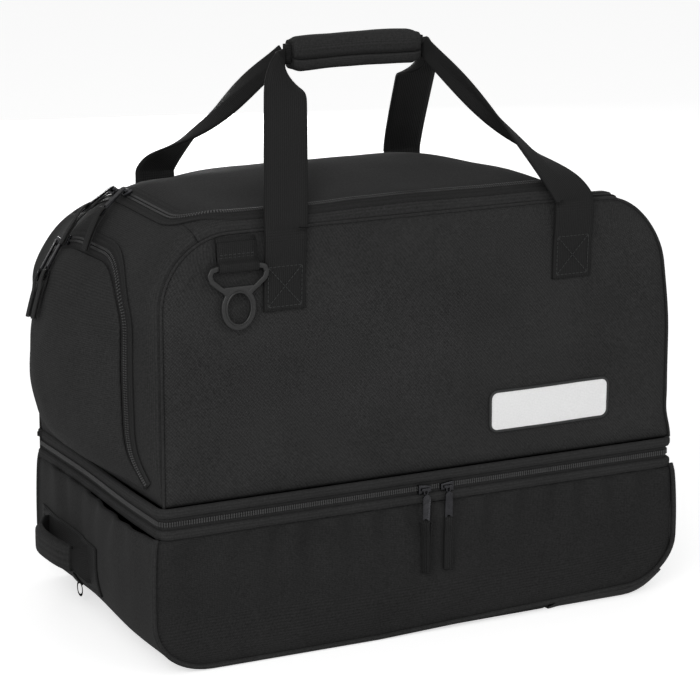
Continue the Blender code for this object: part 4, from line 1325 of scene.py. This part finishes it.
# Drag ring on a small tab under the handle
dragRing = {"wire": 0.0012, "steps": 40, "sides": 12, "tabFoot": 0.0185, "tabHigh": 0.0165, "tabWide": 0.014,
            "tabLift": 0.0016, "tabThick": 0.0014}
ringLow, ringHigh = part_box("drag_ring")
tabLow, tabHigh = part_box("drag_ring_tab")
ringShape = bmesh.new()
ringReach = (ringHigh.y - ringLow.y) / 2 - dragRing["wire"]
wirePlace = Matrix.Translation((0, ringReach, 0)) @ Matrix.Rotation(math.pi / 2, 4, "Y")
bmesh.ops.create_circle(ringShape, segments=dragRing["sides"], radius=dragRing["wire"], matrix=wirePlace)
bmesh.ops.spin(ringShape, geom=ringShape.verts[:] + ringShape.edges[:], cent=(0, 0, 0), axis=(1, 0, 0),
               angle=2 * math.pi, steps=dragRing["steps"], use_merge=True)
bmesh.ops.remove_doubles(ringShape, verts=ringShape.verts, dist=1e-6)
ringShape.transform(Matrix.Translation((ringLow + ringHigh) / 2))
makePiece("drag_ring_wire", ringShape, "gunmetal", "drag_ring", ["drag_ring"])


def stripPlace(u, v):
    height = dragRing["tabFoot"] + v * dragRing["tabHigh"]
    return leftBand(tabLow.y + u * (tabHigh.y - tabLow.y), height, dragRing["tabLift"])


clothPiece("drag_ring_strip", 8, 16, stripPlace, (dragRing["tabWide"], dragRing["tabHigh"]), "webbing",
           "boot_compartment", ["drag_ring_tab"], -acrossX, dragRing["tabThick"])
print("haul handle done")

# Moulded skids under the right end, thicker where the base is lifted
skidStart = bootTop - baseRadius * (1 - math.pi / 2) + bootReach + skidLow.x
skidRun = bootReach - skidLow.x + baseRadius * skidForm["angle"]
skidSection = flatSection(skidForm["wide"], 1.0, skidForm["widePower"], skidForm["thickPower"],
                          skidForm["sides"])


def skidAt(side):
    def at(u, across, out):
        share = (skidStart + u * skidRun) / bandRoute.length
        spot = bandRoute.at(share)
        reach = side * across / skidForm["wide"] * 2
        towardsEdge = rampUp(reach, skidForm["edgeFrom"], 1 - skidForm["edgeFrom"])
        deep = skidForm["thick"] + skidForm["edgeDeep"] * baseLift(spot.x, spot.y) * towardsEdge
        deep *= skidForm["endThin"] + (1 - skidForm["endThin"]) * ease(min(u, 1 - u) / skidForm["endRun"])
        y = side * (gussetEdge + skidForm["front"] - skidForm["wide"] / 2) + across
        return Vector((spot.x, y, spot.y)) - bandNormal(share) * deep * (out + 0.5)
    return at


for side, face in faces:
    shape = sweptBar(skidForm["steps"], skidSection, skidAt(side), skidRun)
    makePiece("base_skid_%s_moulding" % face, shape, "plastic", "boot_compartment", ["base_skid_%s" % face],
              sharp=50)

# Moulded loops: a bar frame with curved horns, a web and an oval eye with a raised rim
loopForm = {"horn": [(0.0, 0.3455), (0.0190, 0.3455), (0.0238, 0.3442), (0.0258, 0.3400), (0.0240, 0.3350),
                     (0.0172, 0.3292), (0.0118, 0.3252), (0.0085, 0.3210)], "webHeight": 0.3264,
            "webHalf": 0.0130, "eye": (0.0132, 0.0160), "eyeHeight": 0.3108, "rim": (0.0112, 0.0140),
            "bar": (0.0046, 0.0036), "eyeBar": (0.0052, 0.0034), "webBar": (0.0064, 0.0032),
            "rimRadius": 0.0010, "rimLift": 0.0015, "out": 0.1496}


def loopBar(shape, route, section, x, side, steps, lift=0.0):
    def at(u, across, out):
        spot = route.at(u)
        heading = route.heading(u, 0.001)
        y = side * (loopForm["out"] + lift + out)
        return Vector((x + spot.x - heading.y * across, y, spot.y + heading.x * across))
    sweptBar(steps, section, at, route.length, shape)


def ovalRoute(size, height):
    turns = [2 * math.pi * step / 48 for step in range(48)]
    return Route([(size[0] * math.cos(a), height + size[1] * math.sin(a), 0) for a in turns], closed=True)


for side, face in faces:
    loop = "%s_strap_loop" % face
    x = sliderMiddle(loop).x
    shape = bmesh.new()
    for hand in (-1, 1):
        horn = Route([(hand * reach, height, 0) for reach, height in loopForm["horn"]])
        loopBar(shape, horn, flatSection(*loopForm["bar"]), x, side, 60)
    web = Route([(hand * loopForm["webHalf"], loopForm["webHeight"], 0) for hand in (-1, 1)])
    loopBar(shape, web, flatSection(*loopForm["webBar"]), x, side, 12)
    eye = ovalRoute(loopForm["eye"], loopForm["eyeHeight"])
    loopBar(shape, eye, flatSection(*loopForm["eyeBar"]), x, side, 64)
    rim = ovalRoute(loopForm["rim"], loopForm["eyeHeight"])
    loopBar(shape, rim, ringSection(loopForm["rimRadius"], 8), x, side, 64, loopForm["rimLift"])
    makePiece("%s_loop_moulding" % face, shape, "plastic", loop, [loop], sharp=60)

# Tabs that hold the plastic loops: webbing folded round the bar; the sagging top takes the back one down
loopTab = {"wide": 0.036, "thick": 0.0018, "sag": {"front": 0.0, "back": 0.016}, "sagFrom": 0.348,
           "sagRun": 0.012, "fold": [(0.1440, 0.370), (0.1466, 0.362), (0.1472, 0.3545), (0.1484, 0.3515),
                                     (0.1524, 0.3488), (0.1531, 0.3455), (0.1522, 0.3422), (0.1496, 0.3412),
                                     (0.1470, 0.3424), (0.1462, 0.348), (0.1452, 0.366)],
           "seams": (0.3535, 0.3560), "seamHalf": 0.016, "seamOut": 0.1475, "seamSag": 0.2}


def loopTabPlace(side, x, turns):
    def place(u, v):
        spot = turns.at(u)
        return Vector((x + (v - 0.5) * loopTab["wide"], side * spot.x, spot.y))
    return place


for side, face in faces:
    x = sliderMiddle("%s_loop_tab" % face).x
    turns = Route([(out, height, 0) for out, height in loopTab["fold"]])
    drop = loopTab["sag"][face]
    for point in turns.points:
        point.y -= drop * rampUp(point.y, loopTab["sagFrom"], loopTab["sagRun"])
    clothPiece("%s_loop_webbing" % face, 60, 6, loopTabPlace(side, x, turns),
               (turns.length, loopTab["wide"]), "webbing", "upper_compartment", ["%s_loop_tab" % face],
               acrossY * side, loopTab["thick"], lining="webbing")
    seams = bmesh.new()
    for height in loopTab["seams"]:
        middle = Vector((x, side * loopTab["seamOut"], height - drop * loopTab["seamSag"]))
        reach = acrossX * loopTab["seamHalf"]
        stitchRow(seams, middle - reach, middle + reach, acrossY * side)
    makePiece("%s_loop_stitches" % face, seams, "thread", "upper_compartment", smooth=False)

# Blank woven patch with a bound edge
label = {"x": 0.121, "z": 0.1915, "size": (0.124, 0.037), "corner": 0.0075, "edge": 0.0013,
         "edgeInset": 0.0006, "lift": 0.0014, "edgeLift": 0.0012, "wall": 0.0010}
labelCorner = Vector((label["size"][0] / 2 - label["corner"], label["size"][1] / 2 - label["corner"]))


def onFront(x, z, lift):
    return settle(Vector((x, -(panelOut(-1, x, z) + lift), z)))


def labelPlace(u, v):
    point = Vector(((2 * u - 1) * label["size"][0] / 2, (2 * v - 1) * label["size"][1] / 2))
    over = Vector((abs(point.x) - labelCorner.x, abs(point.y) - labelCorner.y))
    if over.x > 0 and over.y > 0:
        over = labelCorner + over.normalized() * max(over.x, over.y)
        point = Vector((math.copysign(over.x, point.x), math.copysign(over.y, point.y)))
    return onFront(label["x"] + point.x, label["z"] + point.y, label["lift"])


clothPiece("label_cloth", 100, 30, labelPlace, label["size"], "patch", "upper_compartment", ["label_patch"],
           -acrossY, label["wall"])
rimPoints = []
rimReach = label["corner"] - label["edgeInset"]
for quarter, (sx, sz) in enumerate(((1, 1), (-1, 1), (-1, -1), (1, -1))):
    for turn in spread(0, math.pi / 2, 8):
        angle = turn + quarter * math.pi / 2
        rimPoints.append((label["x"] + sx * labelCorner.x + rimReach * math.cos(angle),
                          label["z"] + sz * labelCorner.y + rimReach * math.sin(angle), 0))
rimRoute = Route(rimPoints, closed=True)


def rimAt(u, across, out):
    spot = rimRoute.at(u)
    heading = rimRoute.heading(u, 0.001)
    return onFront(spot.x + heading.y * across, spot.y - heading.x * across, label["edgeLift"] + out)


shape = sweptBar(220, ringSection(label["edge"], 8), rimAt, rimRoute.length)
makePiece("label_edge", shape, "thread", "upper_compartment")

# Small webbing tab sewn to the right shoulder, and the folded end of the boot zip at the left back corner
shoulderTab = {"along": straight + shoulderArc * 0.72, "q": -0.102, "wide": 0.022, "high": 0.0052,
               "length": 0.024, "lift": 0.0008, "wall": 0.0016}
zipTail = {"y": 0.128, "back": 0.010, "size": (0.016, 0.010), "out": 0.007, "inset": 0.002, "up": 0.010,
           "narrow": 0.6, "wall": 0.0015}


def shoulderTabPlace(u, v):
    along = shoulderTab["along"] + (u - 0.5) * shoulderTab["length"]
    q = shoulderTab["q"] + (v - 0.5) * shoulderTab["wide"]
    return upperSkin(along, q, shoulderTab["lift"] + shoulderTab["high"] * math.sin(math.pi * u))


def zipTailPlace(u, v):
    height = zipMiddle + zipTail["up"] + (v - 0.5) * zipTail["size"][1] * (1 - zipTail["narrow"] * u)
    return Vector((-halfWidth + zipTail["inset"] - zipTail["out"] * u, zipTail["y"] + zipTail["back"] * u,
                   height))


clothPiece("shoulder_tab", 16, 6, shoulderTabPlace, (shoulderTab["length"], shoulderTab["wide"]), "webbing",
           "upper_compartment", [], acrossX, shoulderTab["wall"], lining="webbing")
clothPiece("boot_zip_tail", 8, 6, zipTailPlace, zipTail["size"], "tape", "upper_compartment", [], -acrossY,
           zipTail["wall"])

# Stiff board on the base, seen when the compartments are opened
bpy.data.objects["base_board"].data.materials.clear()
bpy.data.objects["base_board"].data.materials.append(finish["plastic"])
print("trim done")

# Floor, light and camera: the floor shows white to the camera and keeps a soft shadow
studio = {"floor": "#e8e8e8", "floorGlow": 0.62, "floorSize": 30, "worldStrength": 0.38,
          "aim": Vector((0, 0, 0.22))}
white = (1, 1, 1, 1)
floorShape = bmesh.new()
bmesh.ops.create_grid(floorShape, x_segments=1, y_segments=1, size=studio["floorSize"])
floorMesh = bpy.data.meshes.new("studioFloor")
floorShape.to_mesh(floorMesh)
floorShape.free()
studioFloor = bpy.data.objects.new("studio_floor", floorMesh)
bpy.context.scene.collection.objects.link(studioFloor)
floorLook, floorTree, floorShader = startMaterial("paleFloor", Roughness=1.0, Specular_IOR_Level=0.0,
                                                  Base_Color=hexColor(studio["floor"]), Emission_Color=white)
seen = addNode(floorTree, "ShaderNodeLightPath").outputs["Is Camera Ray"]
glow = mathNode(floorTree, "MULTIPLY", seen, studio["floorGlow"])
floorTree.links.new(glow, floorShader.inputs["Emission Strength"])
floorMesh.materials.append(floorLook)

world = bpy.data.worlds.new("studioWorld")
world.use_nodes = True
world.node_tree.nodes["Background"].inputs["Color"].default_value = white
world.node_tree.nodes["Background"].inputs["Strength"].default_value = studio["worldStrength"]
bpy.context.scene.world = world

lamps = [
    {"name": "keyLamp", "place": (-2.0, -2.4, 1.7), "size": 2.2, "power": 54},
    {"name": "fillLamp", "place": (1.4, -2.9, 1.4), "size": 2.2, "power": 13},
    {"name": "rearLamp", "place": (0.7, 2.6, 0.35), "size": 0.8, "power": 12},
    {"name": "topLamp", "place": (0.2, 0.9, 2.8), "size": 2.2, "power": 3},
]
for lamp in lamps:
    light = bpy.data.lights.new(lamp["name"], "AREA")
    light.size = lamp["size"]
    light.energy = lamp["power"]
    lampObject = bpy.data.objects.new(lamp["name"], light)
    lampObject.location = lamp["place"]
    lampObject.rotation_euler = (studio["aim"] - Vector(lamp["place"])).to_track_quat("-Z", "Y").to_euler()
    bpy.context.scene.collection.objects.link(lampObject)

shot = {"target": Vector((-0.0035, 0, 0.2227)), "yaw": math.radians(27.08), "pitch": math.radians(13.78),
        "distance": 2.6135, "lens": 149.14, "sensor": 36}
level = math.cos(shot["pitch"])
backward = Vector((-math.sin(shot["yaw"]) * level, -math.cos(shot["yaw"]) * level, math.sin(shot["pitch"])))
cameraData = bpy.data.cameras.new("photoCamera")
cameraData.lens = shot["lens"]
cameraData.sensor_width = shot["sensor"]
camera = bpy.data.objects.new("photo_camera", cameraData)
camera.location = shot["target"] + backward * shot["distance"]
camera.rotation_euler = (-backward).to_track_quat("-Z", "Y").to_euler()
bpy.context.scene.collection.objects.link(camera)
bpy.context.scene.camera = camera
bpy.context.scene.view_settings.view_transform = "Standard"
print("studio done")

bpy.context.view_layer.update()
